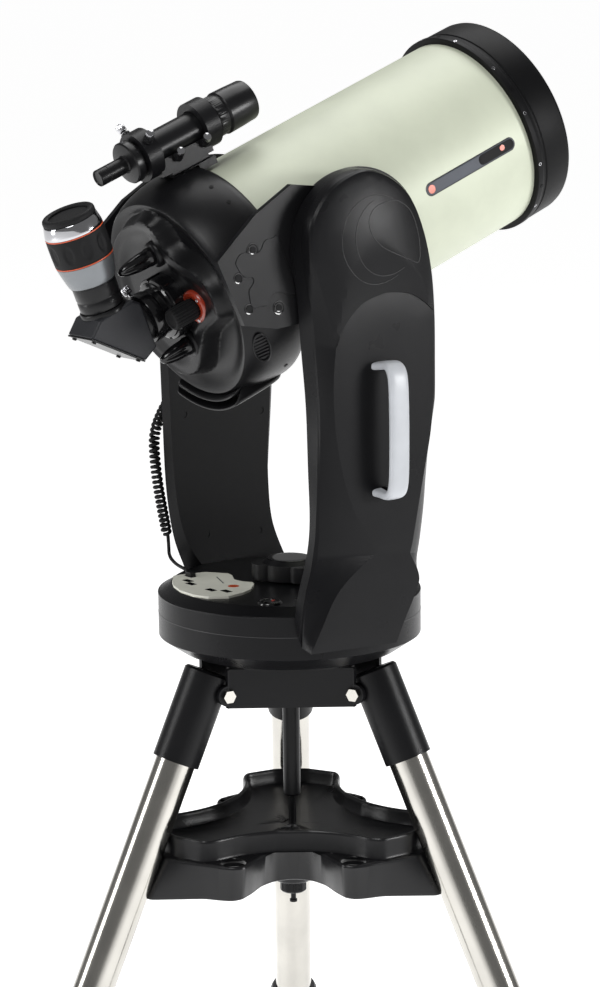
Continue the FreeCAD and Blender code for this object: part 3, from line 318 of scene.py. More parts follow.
def make_materials():
    """Every look by its name. The rows give the colour, the roughness and what else differs."""
    rows = (
        ("cover", (0.0055, 0.0055, 0.0062), 0.28, dict(grain=2200, depth=0.03, specular=0.13)),
        # A darker, rougher copy of cover: on the far arm's inner face it is painted shade; the front ring and
        # the fork's and tube's screws also take it.
        ("cover_dark_and_shade", (0.003, 0.003, 0.0034), 0.45, dict(grain=2200, depth=0.03, specular=0.1)),
        ("cast", (0.006, 0.006, 0.0067), 0.3, dict(grain=1500, depth=0.04, specular=0.17)),
        ("satin", (0.006, 0.006, 0.0066), 0.28, dict(spread=0.12, specular=0.22)),
        ("gloss", (0.004, 0.004, 0.0045), 0.16,
         dict(grain=600, depth=0.004, spread=0.12, coat=0.3, specular=0.3)),
        ("rubber", (0.007, 0.007, 0.0076), 0.6, dict(grain=1800, depth=0.05, spread=0.12, specular=0.16)),
        ("tube", (0.48, 0.51, 0.405), 0.5, dict(metal=0.1, grain=4500, depth=0.015, spread=0.03)),
        ("steel", (0.5, 0.485, 0.45), 0.17, dict(metal=1.0, grain=350, depth=0.003)),
        ("moulding", (0.007, 0.007, 0.0078), 0.28, dict(grain=1500, depth=0.03, specular=0.28)),
        ("chrome", (0.5, 0.5, 0.52), 0.1, dict(metal=1.0, grain=300, depth=0.002, spread=0.03)),
        ("pale", (0.42, 0.435, 0.46), 0.36, dict(grain=1500, depth=0.02)),
        ("panel", (0.62, 0.62, 0.55), 0.55, dict(grain=1500, depth=0.02)),
        ("silver", (0.24, 0.245, 0.255), 0.3, dict(metal=0.8)),
        ("brass", (0.72, 0.5, 0.2), 0.3, dict(metal=1.0, grain=500, spread=0.12)),
        ("amber", (0.22, 0.022, 0.008), 0.25, dict(spread=0.12, coat=0.3)),
        ("strip", (0.06, 0.066, 0.08), 0.5, dict(grain=1500, depth=0.02, spread=0.12, specular=0.25)),
        ("groove", (0.006, 0.006, 0.007), 0.35, dict(spread=0.12)),
        ("mirror", (0.9, 0.9, 0.9), 0.03, dict(metal=1.0, grain=300, depth=0.0, spread=0.12)),
        ("housing", (0.016, 0.0165, 0.019), 0.42, dict(grain=1800, depth=0.03, spread=0.12, specular=0.2)),
        ("anodised", (0.17, 0.18, 0.19), 0.32, dict(metal=0.7, spread=0.06)),
        ("orange", (0.5, 0.07, 0.02), 0.35, dict(spread=0.12)),
        ("red", (0.35, 0.03, 0.02), 0.35, dict(spread=0.12)),
        ("coated", (0.02, 0.03, 0.06), 0.05, dict(grain=300, depth=0.0, spread=0.12, coat=1.0)),
    )
    looks = {name: surface(name, colour, rough, **more) for name, colour, rough, more in rows}
    looks["glass"] = glass("glass", (0.75, 0.9, 0.85))
    return looks


# The look of the CAD nodes, of those that stay visible and those that are replaced; * is each leg's letter.
NODE_LOOKS = {
    "cover": "base_lower_shell base_upper_shell near_arm_outer far_arm_outer near_arm_inner",
    # far_arm_inner takes the darker copy of cover as painted shade, where the near arm's inner half keeps cover.
    "cover_dark_and_shade": "far_arm_inner fork_screws tube_screws",
    "cast": "tripod_head mount_plate rear_cell side_brackets accessory_tray centre_rod finder_bracket"
            " tension_knob leg_fittings_* leg_knob_*",
    "steel": "leg_tube_* leg_extension_* tripod_bolts finder_screws",
    "rubber": "leg_foot_* keypad focus_knob eyecup cord_tail",
    "satin": "front_ring visual_back diagonal finder_tube eyepiece secondary_cell baffle_tube mirror_lock_a"
             " mirror_lock_b clutch_knob hand_control control_cradle power_switch cord_plug",
    "tube": "optical_tube",
    "pale": "carry_handle",
    "panel": "control_panel",
    "brass": "azimuth_wheel altitude_wheels",
    "silver": "drive_motors",
    "mirror": "primary_mirror",
    "glass": "corrector_lens",
}


def paint_nodes():
    for look, names in NODE_LOOKS.items():
        for name in names.split():
            letters = "abc" if "*" in name else " "
            for node in [nodes[name.replace("*", letter)] for letter in letters]:
                if not node.material_slots:
                    node.data.materials.append(looks[look])
                for slot in node.material_slots:
                    slot.material = looks[look]


# ---- shapes: each is (points, faces), in millimetres ----
def moved(shape, matrix):
    points, faces = shape
    return [tuple(matrix @ Vector(p)) for p in points], faces


def joined(*shapes):
    points = []
    faces = []
    for some, more in shapes:
        start = len(points)
        points.extend(some)
        faces.extend([tuple(i + start for i in face) for face in more])
    return points, faces


def grid(rows, closed=True, ends=False):
    """Skin over rows of equally many points; closed joins each row's end to its start."""
    count = len(rows[0])
    points = [p for row in rows for p in row]
    faces = []
    for r in range(len(rows) - 1):
        for k in range(count if closed else count - 1):
            n = (k + 1) % count
            faces.append((r * count + k, r * count + n, (r + 1) * count + n, (r + 1) * count + k))
    if ends:
        faces.append(tuple(range(count)))
        faces.append(tuple(range((len(rows) - 1) * count, len(rows) * count)))
    return points, faces


def turned(profile, segments=72, form=None):
    """Turned shape about Z from (radius, height) corners; form changes a radius at an angle."""
    rows = []
    for radius, height in profile:
        row = []
        for k in range(segments):
            angle = 2 * pi * k / segments
            r = form(angle, radius, height) if form else radius
            row.append((r * cos(angle), r * sin(angle), height))
        rows.append(row)
    return grid(rows, ends=True)


def extruded(outline, low, high):
    rows = [[(x, y, h) for x, y in outline] for h in (low, high)]
    return grid(rows, ends=True)


def smooth_line(corners, steps=6, closed=False):
    """Catmull-Rom curve through points of any size."""
    points = [Vector(c) for c in corners]
    count = len(points)
    result = []
    for k in range(count if closed else count - 1):
        before = points[(k - 1) % count] if closed or k else points[0]
        start = points[k]
        end = points[(k + 1) % count]
        after = points[(k + 2) % count] if closed or k + 2 < count else points[-1]
        for step in range(steps):
            t = step / steps
            result.append(0.5 * (2 * start + (end - before) * t
                                 + (2 * before - 5 * start + 4 * end - after) * t ** 2
                                 + (3 * start - before - 3 * end + after) * t ** 3))
    if not closed:
        result.append(points[-1])
    return [tuple(p) for p in result]


def oval(across, up, count, x=0.0, y=0.0):
    """Outline of an ellipse about a place."""
    turns = [2 * pi * k / count for k in range(count)]
    return [(x + across * cos(a), y + up * sin(a)) for a in turns]


def spun(r, side, angle):
    """Place at a radial distance and to one side of it, once turned by an angle about Z."""
    return r * cos(angle) - side * sin(angle), r * sin(angle) + side * cos(angle)


def around(count, first):
    """Evenly spaced angles from a first one in degrees."""
    return [radians(first + 360 / count * k) for k in range(count)]


def at(x, y, z):
    return Matrix.Translation((x, y, z))


def facing(origin, direction):
    """Matrix that puts a shape's Z along a direction, at a place."""
    turn = Vector(direction).to_track_quat("Z", "Y").to_matrix().to_4x4()
    return Matrix.Translation(Vector(origin)) @ turn


def milled(count, deep):
    """Form of a small screw's grip: a toothed rim outside the radius of its shank."""
    def form(angle, radius, height):
        return radius - (0.5 + 0.5 * cos(count * angle)) * deep if radius > 5 else radius

    return form


def hexed(across, deep, top, outer, chamfer=0.4):
    """Socket screw's head: a chamfered disc with a six-sided hole in its top."""
    hole = across / 2

    def form(angle, radius, height):
        if radius > hole * 1.01:
            return radius
        part = (angle + pi / 6) % (pi / 3) - pi / 6
        return radius / cos(part)

    profile = [(outer, top - 3), (outer, top - chamfer), (outer - chamfer, top), (hole * 1.25, top),
               (hole, top - 0.3), (hole, top - deep), (0.01, top - deep)]
    return turned(profile, 24, form)


# Frames for the shapes, in millimetres: FORK has X across the arms, Y forward and Z up from the foot of the
# drive base. TUBE has X across, Y forward along the tube and Z up from its axis, from the altitude pivot.
FORK = at(0, 0, HEAD_Z) @ Matrix.Scale(MM, 4)
TUBE = TO_TUBE @ Matrix.Scale(MM, 4)
REARWARD = Matrix.Rotation(pi / 2, 4, "X")
FORWARD = Matrix.Rotation(-pi / 2, 4, "X")


def piece(name, shape, look, body, place, bevel=0.0, sharp=35.0, steps=2):
    """Visible piece from a shape, riding a body; bevel rounds the edges that are sharper than sharp."""
    points, faces = shape
    mesh = bpy.data.meshes.new(name)
    mesh.from_pydata([place @ Vector(p) for p in points], [], faces)
    work = bmesh.new()
    work.from_mesh(mesh)
    bmesh.ops.remove_doubles(work, verts=work.verts, dist=1e-6)
    bmesh.ops.recalc_face_normals(work, faces=work.faces)
    work.to_mesh(mesh)
    work.free()
    mesh.materials.append(looks[look])
    mesh.shade_smooth()
    mesh.set_sharp_from_angle(angle=radians(sharp))
    thing = linked(name, mesh)
    if bevel:
        soften(thing, bevel, sharp, steps)
    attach(thing, body)
    return thing


def soften(thing, width, sharp, steps):
    """Rounds a piece's sharp edges by a modifier."""
    bevel = thing.modifiers.new("edges", "BEVEL")
    bevel.width = width * MM
    bevel.segments = steps
    bevel.limit_method = "ANGLE"
    bevel.angle_limit = radians(sharp)
    bevel.harden_normals = False
    shading = thing.modifiers.new("shading", "WEIGHTED_NORMAL")
    shading.keep_sharp = False


def round_wire(name, points, radius, order, resolution):
    """Round wire along a smooth curve through points in metres."""
    data = bpy.data.curves.new(name, "CURVE")
    data.dimensions = "3D"
    data.bevel_depth = radius * MM
    data.bevel_resolution = 3
    data.use_fill_caps = True
    line = data.splines.new("NURBS")
    line.points.add(len(points) - 1)
    for spot, p in zip(line.points, points):
        spot.co = (*p, 1)
    line.order_u = order
    line.use_endpoint_u = True
    line.resolution_u = resolution
    return linked(name, data)


# ---- near arm cover ----
def pair_line(side):
    """Smooth line through one side of the pairs, with its sharp corners kept."""
    result = []
    ends = [0, *NEAR_CORNERS, len(NEAR_PAIRS) - 1]
    for low, high in zip(ends, ends[1:]):
        part = smooth_line([pair[side] for pair in NEAR_PAIRS[low:high + 1]], PER_PAIR)
        result.extend(part if high == ends[-1] else part[:-1])
    return result


def dome(spots, outline, edge_x, rise, reach):
    """Heights over places inside an outline: the edge's own height, rising inward up to a reach."""
    inside = outline_distance(spots, outline)
    corners = np.array(outline)
    away = np.hypot(spots[:, None, 0] - corners[None, :, 0], spots[:, None, 1] - corners[None, :, 1])
    weight = 1 / (away ** 2 + 0.01)
    edge = (weight @ np.array(edge_x)) / weight.sum(axis=1)
    inward = np.clip(inside / reach, 0, 1)
    return edge + rise * (1 - (1 - inward) ** 2)


def filled(outline, edge_x, rise, reach):
    """Low dome over a closed (y, z) outline in the arm's face, on an even net of triangles."""
    corners = np.array(outline)
    low, high = corners.min(axis=0), corners.max(axis=0)
    ys, zs = [np.arange(start, end, NET_SPACING) for start, end in zip(low, high)]
    net = np.array([(y, z) for y in ys for z in zs])
    net = net[outline_distance(net, outline) > 0.6 * NET_SPACING]
    flat = [Vector(c) for c in outline] + [Vector(c) for c in net]
    ring = list(range(len(outline)))
    spots, _, faces, _, _, _ = delaunay_2d_cdt(flat, [], [ring], 1, 1e-5)
    heights = dome(np.array([tuple(c) for c in spots]), outline, edge_x, rise, reach)
    heights[:len(outline)] = edge_x
    return [(x, c.x, c.y) for c, x in zip(spots, heights)], [tuple(face) for face in faces]


def arm_cover():
    """Outer half of the near arm: rounded or bevelled sides, then cap, shield and foot facet."""
    outer = pair_line(0)
    inner = pair_line(1)
    rows = []
    for soft, plain in zip(ROUND_SIDE, BEVELLED_SIDE):
        row = []
        for k, (start, end) in enumerate(zip(outer, inner)):
            pair = k / PER_PAIR
            weight = min(1.0, max(0.0, min(pair - ROUND_FROM + 1, ROUND_TO + 1 - pair)))
            p, q = [a + (b - a) * weight for a, b in zip(plain, soft)]
            row.append((SEAM_X + (FACE_X - SEAM_X) * q, start[0] + (end[0] - start[0]) * p,
                        start[1] + (end[1] - start[1]) * p))
        rows.append(row)
    sides = grid(rows, closed=False)
    top_line = smooth_line(SHIELD_TOP, 8)
    low_left, left, right, low_right = [c * PER_PAIR for c in (FOOT_ENDS[0], *SHIELD_ENDS, FOOT_ENDS[1])]
    cap = inner[left:right + 1] + top_line[::-1][1:-1]
    cap_edge = [FACE_X] * (right + 1 - left) + [FACE_X + SHIELD_STEP] * (len(top_line) - 2)
    shield = inner[low_left:left + 1] + top_line[1:-1] + inner[right:low_right + 1]
    foot = inner[:low_left + 1] + inner[low_right:]
    lip = grid([[(x, y, z) for y, z in top_line] for x in (FACE_X + SHIELD_STEP, FACE_X - 0.4)], closed=False)
    cap_fill = (cap, cap_edge, CAP_RISE, CAP_REACH)
    parts = [sides, filled(*cap_fill), lip, filled(shield, [FACE_X] * len(shield), 1.2, 40.0),
             filled(foot, [FACE_X] * len(foot), 0.6, 30.0)]
    return parts, cap_fill


def make_near_arm():
    """Near arm's cover, with fine grooves in its cap."""
    parts, cap_fill = arm_cover()
    cover = piece("near_arm_cover", joined(*parts), "cover", "fork", FORK, sharp=12.0)
    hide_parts("near_arm_outer")
    arcs = [((0, 540), 53.5, 62, 305), ((12, 543), 47, 112, 305)]
    for number, ((y, z), radius, start, end) in enumerate(arcs):
        line = [(y + radius * cos(a), z + radius * sin(a))
                for a in np.radians(np.linspace(start, end, 25))]
        groove(f"cap_groove_{number}", line, cap_fill)
    lens = smooth_line([(33, 584), (14, 584), (-5, 578), (-15, 563), (-10, 545), (5, 531), (27, 521),
                        (48, 513), (63, 509), (66, 528), (62, 552), (52, 572)], 5, closed=True)
    groove("cap_groove_lens", lens, cap_fill, closed=True)


def groove(name, line, cap_fill, closed=False):
    """Fine dark line lying in the cap's dome."""
    heights = dome(np.array(line), *cap_fill)
    points = [FORK @ Vector((x, y, z)) for (y, z), x in zip(line, heights)]
    thread = round_wire(name, points, 0.5, 4, 4)
    spline = thread.data.splines[0]
    spline.use_cyclic_u = closed
    spline.use_endpoint_u = not closed
    thread.data.materials.append(looks["groove"])
    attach(thread, "fork")


# ---- carrying handle ----
def make_handle():
    """Carrying handle: a soft-edged bar on two flared feet, with a deep screw in each end."""
    line = smooth_line(HANDLE_PATH, 4)
    rows = []
    for k, (x, z, widening) in enumerate(line):
        before = Vector(line[max(0, k - 1)][:2])
        after = Vector(line[min(len(line) - 1, k + 1)][:2])
        way = (after - before).normalized()
        side = Vector((-way.y, way.x))
        row = []
        for step in range(32):
            a = 2 * pi * step / 32
            c = copysign(abs(cos(a)) ** HANDLE_BLUNTNESS, cos(a))
            s = copysign(abs(sin(a)) ** HANDLE_BLUNTNESS, sin(a))
            across = HANDLE_HALF_WIDTH * widening * c
            thick = HANDLE_HALF_DEPTH * s
            row.append((x + side.x * thick, HANDLE_Y + across, z + side.y * thick))
        rows.append(row)
    bar = piece("handle_bar", grid(rows, ends=True), "pale", "fork", FORK, sharp=50)
    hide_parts("carry_handle")
    screws = [moved(hexed(5, 3, 0, 6.5), facing((214, HANDLE_Y, z), (0.75, 0, dz)))
              for z, dz in ((383, 0.66), (239, -0.66))]
    piece("handle_screws", joined(*screws), "gloss", "fork", FORK)


# ---- cord: from the hand control down the coil, then over the base to its plug ----
def make_cord():
    """Curly cord that hangs behind the far arm, with a straight end over the base."""
    guide = round_wire("cord_guide", [FORK @ Vector(p) for p in CORD_ROUTE], 0.0, 3, 8)
    path = [v.co.copy() for v in bpy.data.meshes.new_from_object(guide).vertices]
    bpy.data.objects.remove(guide)
    points, length = helix(path)
    cord = round_wire("control_cord", points + [FORK @ Vector(p) for p in CORD_TAIL], CORD_R, 3, 3)
    for a, b in zip([CORD_ROUTE[-1]] + CORD_TAIL, CORD_TAIL):
        length += (Vector(b) - Vector(a)).length * MM
    cord.data.materials.append(looks["rubber"])
    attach(cord, "fork")
    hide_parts("cord_coil", "cord_tail")


def helix(path):
    """Points of a curly cord round a path, straight at its ends."""
    steps = [0.0]
    for a, b in zip(path, path[1:]):
        steps.append(steps[-1] + (b - a).length)
    coiled = steps[-1] - 2 * COIL_STRAIGHT
    turns = round(coiled / COIL_PITCH)
    points = [path[0].copy()]
    side = Vector((0, 1, 0))
    count = turns * COIL_STEPS
    for k in range(count + 1):
        here = COIL_STRAIGHT + coiled * k / count
        seg = next(i for i in range(1, len(steps)) if steps[i] >= here - 1e-9)
        part = (here - steps[seg - 1]) / (steps[seg] - steps[seg - 1])
        spot = path[seg - 1].lerp(path[seg], part)
        low, high = max(0, seg - 2), min(len(path) - 1, seg + 1)
        way = (path[high] - path[low]).normalized()
        side = (side - way * side.dot(way)).normalized()
        other = way.cross(side)
        a = 2 * pi * turns * k / count
        swell = COIL_MIDDLE_R * min(1.0, 0.3 + 0.7 * min(k, count - k) / COIL_STEPS)
        points.append(spot + (side * cos(a) + other * sin(a)) * swell)
    points.append(path[-1].copy())
    length = sum((b - a).length for a, b in zip(points, points[1:]))
    return points, length


# ---- rear cell, brackets and what is on them ----
def outline_distance(points, outline):
    """Signed distance of points from a closed outline, more than nothing inside it."""
    corners = np.array(outline, float)
    after = np.roll(corners, -1, axis=0)
    best = np.full(len(points), 1e9)
    inside = np.zeros(len(points), bool)
    for a, b in zip(corners, after):
        way = b - a
        t = np.clip(((points - a) @ way) / (way @ way), 0, 1)
        near = a + t[:, None] * way
        best = np.minimum(best, np.hypot(*(points - near).T))
        crosses = (a[1] > points[:, 1]) != (b[1] > points[:, 1])
        with np.errstate(divide="ignore", invalid="ignore"):
            at_x = a[0] + (points[:, 1] - a[1]) * (b[0] - a[0]) / (b[1] - a[1])
        inside ^= crosses & (points[:, 0] < at_x)
    return np.where(inside, best, -best)


def soft_step(value, low, high):
    t = np.clip((value - low) / (high - low), 0, 1)
    return t * t * (3 - 2 * t)


def make_rear_cell():
    """Casting with a dished back, a raised plateau of free outline, and flats beside the brackets."""
    angles = np.linspace(0, 2 * pi, 180, endpoint=False)
    radii = np.concatenate([[20, 30, 40, 42], np.linspace(46, 125, 44), [126.2]])
    outline = smooth_line(PLATEAU, 5, closed=True)
    rows = []
    for radius in radii:
        spots = np.stack([radius * np.cos(angles), radius * np.sin(angles)], 1)
        inside = outline_distance(spots, outline)
        rim = soft_step(radius, 96, CREST_R)
        dish = DISH_S - 10.0 * rim ** 1.5
        raised = PLATEAU_S + 5.0 * soft_step(inside, 12, 30) - 2.5 * soft_step(radius, 96, 108)
        wall = soft_step(inside, -7, 3)
        height = dish + (raised - dish) * wall
        rows.append([(x, s, u) for (x, u), s in zip(spots, height)])
    for radius, s in CELL_PROFILE:
        rows.append([(max(-CHEEK_X, min(CHEEK_X, radius * cos(a))), s, radius * sin(a))
                     for a in angles])
    cell = piece("rear_cell_casting", grid(rows), "cast", "tube", TUBE, sharp=28)
    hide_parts("rear_cell")
    make_lip()
    make_vent()
    screws = []
    for a in CELL_SCREW_WAYS:
        way = Vector((cos(radians(a)), 0, sin(radians(a))))
        screws.append(moved(hexed(2.4, 1.5, 0.6, 2.7), facing(way * 141.9 + Vector((0, -113, 0)), way)))
    heads = piece("cell_screw_heads", joined(*screws), "gloss", "tube", TUBE)


def make_lip():
    """Finger lip that follows the bottom of the cell: a curved scoop, open to the rear."""
    corners = [(130, -160), (131, -175), (133.4, -179.4), (135.8, -178), (136.6, -165), (138, -153),
               (141, -151), (143, -156), (143.6, -172), (144, -180.4), (145.4, -182), (147, -180),
               (147.3, -165), (147, -130), (146, -114), (143, -107), (136, -105), (130, -107)]
    section = smooth_line(corners, 3, closed=True)
    rows = []
    for degrees in np.linspace(-LIP_HALF_ANGLE, LIP_HALF_ANGLE, 41):
        past = max(0.0, (abs(degrees) - (LIP_HALF_ANGLE - 4)) / 4)
        grow = sqrt(max(0.0, 1 - past * past))
        a = radians(degrees - 90)
        row = []
        for r, s in section:
            out = 130 + (r - 130) * grow
            row.append((out * cos(a), -140 + (s + 140) * (0.55 + 0.45 * grow), out * sin(a)))
        rows.append(row)
    piece("finger_lip", grid(rows, ends=True), "cast", "tube", TUBE, sharp=45)


def make_vent():
    """Oval grille on the curved side of the cell, with upright bars in a dark well."""
    place = TUBE @ facing(VENT_MIDDLE, VENT_WAY.normalized()) @ Matrix.Rotation(radians(2), 4, "Z")
    rim = ((1.12, -1.0), (1.12, 1.2), (1.06, 1.8), (0.98, 1.4), (0.93, -1.5))
    wide, tall = VENT_HALF
    rows = [[(x, y, height) for x, y in oval(wide * scale, tall * scale, 48)] for scale, height in rim]
    piece("vent_rim", grid(rows), "cast", "tube", place, sharp=40)
    piece("vent_well", extruded(oval(8.9, 19.6, 48), -2.5, -1.2), "groove", "tube", place, bevel=0.2)
    bars = []
    for k in range(7):
        y = -15 + 5 * k
        wide = 8.9 * sqrt(1 - (y / 19.8) ** 2)
        outline = [(-wide, y - 1.1), (wide, y - 1.1), (wide, y + 1.1), (-wide, y + 1.1)]
        bars.append(extruded(outline, -2.0, 0.7))
    piece("vent_bars", joined(*bars), "satin", "tube", place, bevel=0.4)


def make_cheeks():
    """Insert with a jigsaw edge on each side bracket, with the bracket's socket screws."""
    for side, name in ((1, "near"), (-1, "far")):
        turn = Matrix.Rotation(pi / 2, 4, "Y") @ Matrix.Rotation(pi / 2, 4, "Z")
        place = TUBE @ Matrix.Diagonal((side, 1, 1, 1)) @ turn
        outline = smooth_line(JIGSAW, 3)
        piece(f"{name}_cheek_insert", extruded(outline, CHEEK_TOP - 0.6, CHEEK_TOP + 1.0), "cast",
              "tube", place, bevel=0.7)
        screws = []
        for s, u, outer in CHEEK_SCREWS:
            spot = at(s, u, CHEEK_TOP + 0.2)
            screws.append(moved(turned([(outer + 2.2, -0.4), (outer + 1.8, 0.5), (outer + 0.6, 0.3),
                                        (outer + 0.3, -1.0)], 32), spot))
            screws.append(moved(hexed(outer * 0.75, 2.5, 0.8, outer), spot))
        piece(f"{name}_cheek_screws", joined(*screws), "gloss", "tube", place)
        boss = turned([(94.9, -0.5), (94.9, 0.6), (93.5, 1.6), (91, 1.9), (89, 1.4), (88.5, -0.4)], 128)
        hub = moved(boss, at(0, 0, CHEEK_TOP))
        piece(f"{name}_altitude_ring", hub, "cast", "tube", place, sharp=50)


def make_focus_knob():
    """Ribbed rubber knob on its stem, over an amber bearing ring."""
    x, u = FOCUS_PLACE

    def ribbed(angle, radius, height):
        if radius < 12.4:
            return radius
        wave = 0.5 + 0.5 * cos(20 * angle)
        return radius - 1.1 * (1 - wave ** 0.5)

    profile = [(6.5, 0), (6.5, 3.5), (11.5, 4), (13.0, 5.2), (13.4, 7), (13.4, 35), (12.9, 37.4),
               (11.6, 38.6), (9.8, 39), (9.2, 38.0), (5, 38.0), (0.01, 38.2)]
    base = at(x, -182.5, u) @ REARWARD
    knob = piece("focus_grip", turned(profile, 160, ribbed), "rubber", "focus_knob", TUBE @ base, sharp=45)
    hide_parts("focus_knob")
    ring = [(12, 0), (12, 5.6), (14, 6.4), (18.5, 6.4), (20.8, 5.4), (21.6, 3.2), (21.9, 0)]
    seat = at(x, -180.0, u) @ REARWARD
    piece("focus_ring", turned(ring, 96), "amber", "tube", TUBE @ seat, sharp=50)
    screws = [moved(hexed(2, 1, 1.3, 2.2), at(17 * cos(a), 17 * sin(a), 5.8))
              for a in around(3, 40)]
    piece("focus_ring_screws", joined(*screws), "chrome", "tube", TUBE @ seat)


def make_locks():
    """Bullet-shaped lock knobs with three flutes, each on a stepped boss."""
    for letter, ((x, u), end) in LOCKS.items():
        tall = LOCK_SEAT + 0.1 - end

        def fluted(angle, radius, height):
            deep = max(0.0, cos(3 * angle)) ** 3
            part = min(1.0, max(0.0, (height - 6) / 6)) * min(1.0, max(0.0, (tall - height) / 10))
            return radius * (1 - 0.24 * deep * part)

        profile = [(11.2, 0), (11.7, 1), (11.7, 4.5), (11.0, 6)]
        for k in range(1, 15):
            t = k / 14
            profile.append((max(0.02, 10.9 * sqrt(1 - (0.985 * t) ** 2.4)), 6 + (tall - 6) * t))
        base = at(x, LOCK_SEAT, u) @ REARWARD
        grip = piece("lock_grip_" + letter, turned(profile, 96, fluted), "gloss", "mirror_lock_" + letter,
                     TUBE @ base, sharp=60)
        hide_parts("mirror_lock_" + letter)
        boss = [(17, -12), (16.5, -4), (15, -1.5), (13.2, -0.6), (13, 0), (4, 0.1)]
        piece("lock_boss_" + letter, turned(boss, 64), "cast", "tube", TUBE @ base, sharp=40)


def make_visual_back():
    """Notched retaining ring, collar and clamp ring with its thumbscrew, all about the tube's axis."""
    def notched(angle, radius, height):
        if radius < 37.5:
            return radius
        part = (angle * 8 / (2 * pi)) % 1
        return radius - (2.2 if part < 0.2 else 0.0)

    ring = [(30, 180), (40.4, 180), (40.4, 198.6), (39.4, 200), (36.6, 201), (35.8, 203), (33.5, 203.6),
            (30, 204), (29.7, 206), (29.7, 211.5), (30.4, 212.6), (31.3, 213.6), (31.5, 215.5),
            (31.5, 225.5), (30.8, 227.4), (29, 228), (26.2, 228), (25.6, 226)]
    back = piece("back_rings", turned(ring, 192, notched), "gloss", "tube", TUBE @ REARWARD, sharp=30)
    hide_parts("visual_back")
    way = Vector((-sin(radians(40)), 0, cos(radians(40))))
    screw = [(2.2, 30), (2.2, 36), (3.4, 36.4), (5.5, 37.2), (5.8, 38), (5.8, 45), (5.2, 46), (2, 46.2),
             (0.01, 46.2)]
    place = TUBE @ facing(Vector((0, -220, 0)), way)
    thumb = piece("back_thumbscrew", turned(screw, 90, milled(18, 0.7)), "chrome", "tube", place, sharp=50)


# ---- star diagonal, eyepiece and eyecup ----
def make_diagonal():
    """Mirror housing with chamfered cheeks, its plate with four screws, nose and eyepiece socket."""
    outline = [(-256, -37.5), (-236, -29.5), (-236, 29.5), (-245, 37.5), (-297, 35), (-314.5, 21)]
    rows = []
    for x, inward in ((-28, 2.4), (-25.6, 0), (25.6, 0), (28, 2.4)):
        centre = Vector((-270, 12))
        row = []
        for s, u in outline:
            way = (centre - Vector((s, u))).normalized() * inward
            row.append((x, s + way.x, u + way.y))
        rows.append(row)
    body = piece("diagonal_housing", grid(rows, ends=True), "housing", "diagonal", TUBE, bevel=1.2,
                 sharp=20, steps=3)
    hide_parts("diagonal")
    way = (PLATE_END - PLATE_START).normalized()
    across = Vector((1, 0, 0))
    face = Matrix((across, way, across.cross(way))).transposed().to_4x4()
    face.translation = (PLATE_START + PLATE_END) / 2
    half = (PLATE_END - PLATE_START).length / 2
    plate = [(-27.2, -half + 1), (27.2, -half + 1), (27.2, half - 1), (-27.2, half - 1)]
    piece("diagonal_plate", extruded(plate, -2.4, -0.2), "satin", "diagonal", TUBE @ face, bevel=0.4)
    turn = Matrix.Rotation(pi, 4, "X")
    heads = [moved(hexed(2.5, 1.4, 2.2, 2.8), at(x, y, -2.4) @ turn)
             for x in (-22, 22) for y in (-half + 8, half - 8)]
    piece("diagonal_plate_screws", joined(*heads), "gloss", "diagonal", TUBE @ face)
    nose = [(20, 200), (25.3, 200), (25.3, 226), (25.6, 229.2), (26.6, 229.8), (27.4, 230.6),
            (27.6, 231.6), (27.6, 234.6), (26.6, 236.4)]
    piece("diagonal_nose", turned(nose, 96), "satin", "diagonal", TUBE @ REARWARD, sharp=40)
    socket = [(28.2, 34), (28.8, 34.6), (28.8, 39), (28.2, 40), (25.6, 40), (25.6, 36)]
    upright = at(0, DIAGONAL_S, 0)
    piece("eyepiece_socket", turned(socket, 96), "satin", "diagonal", TUBE @ upright, sharp=40)


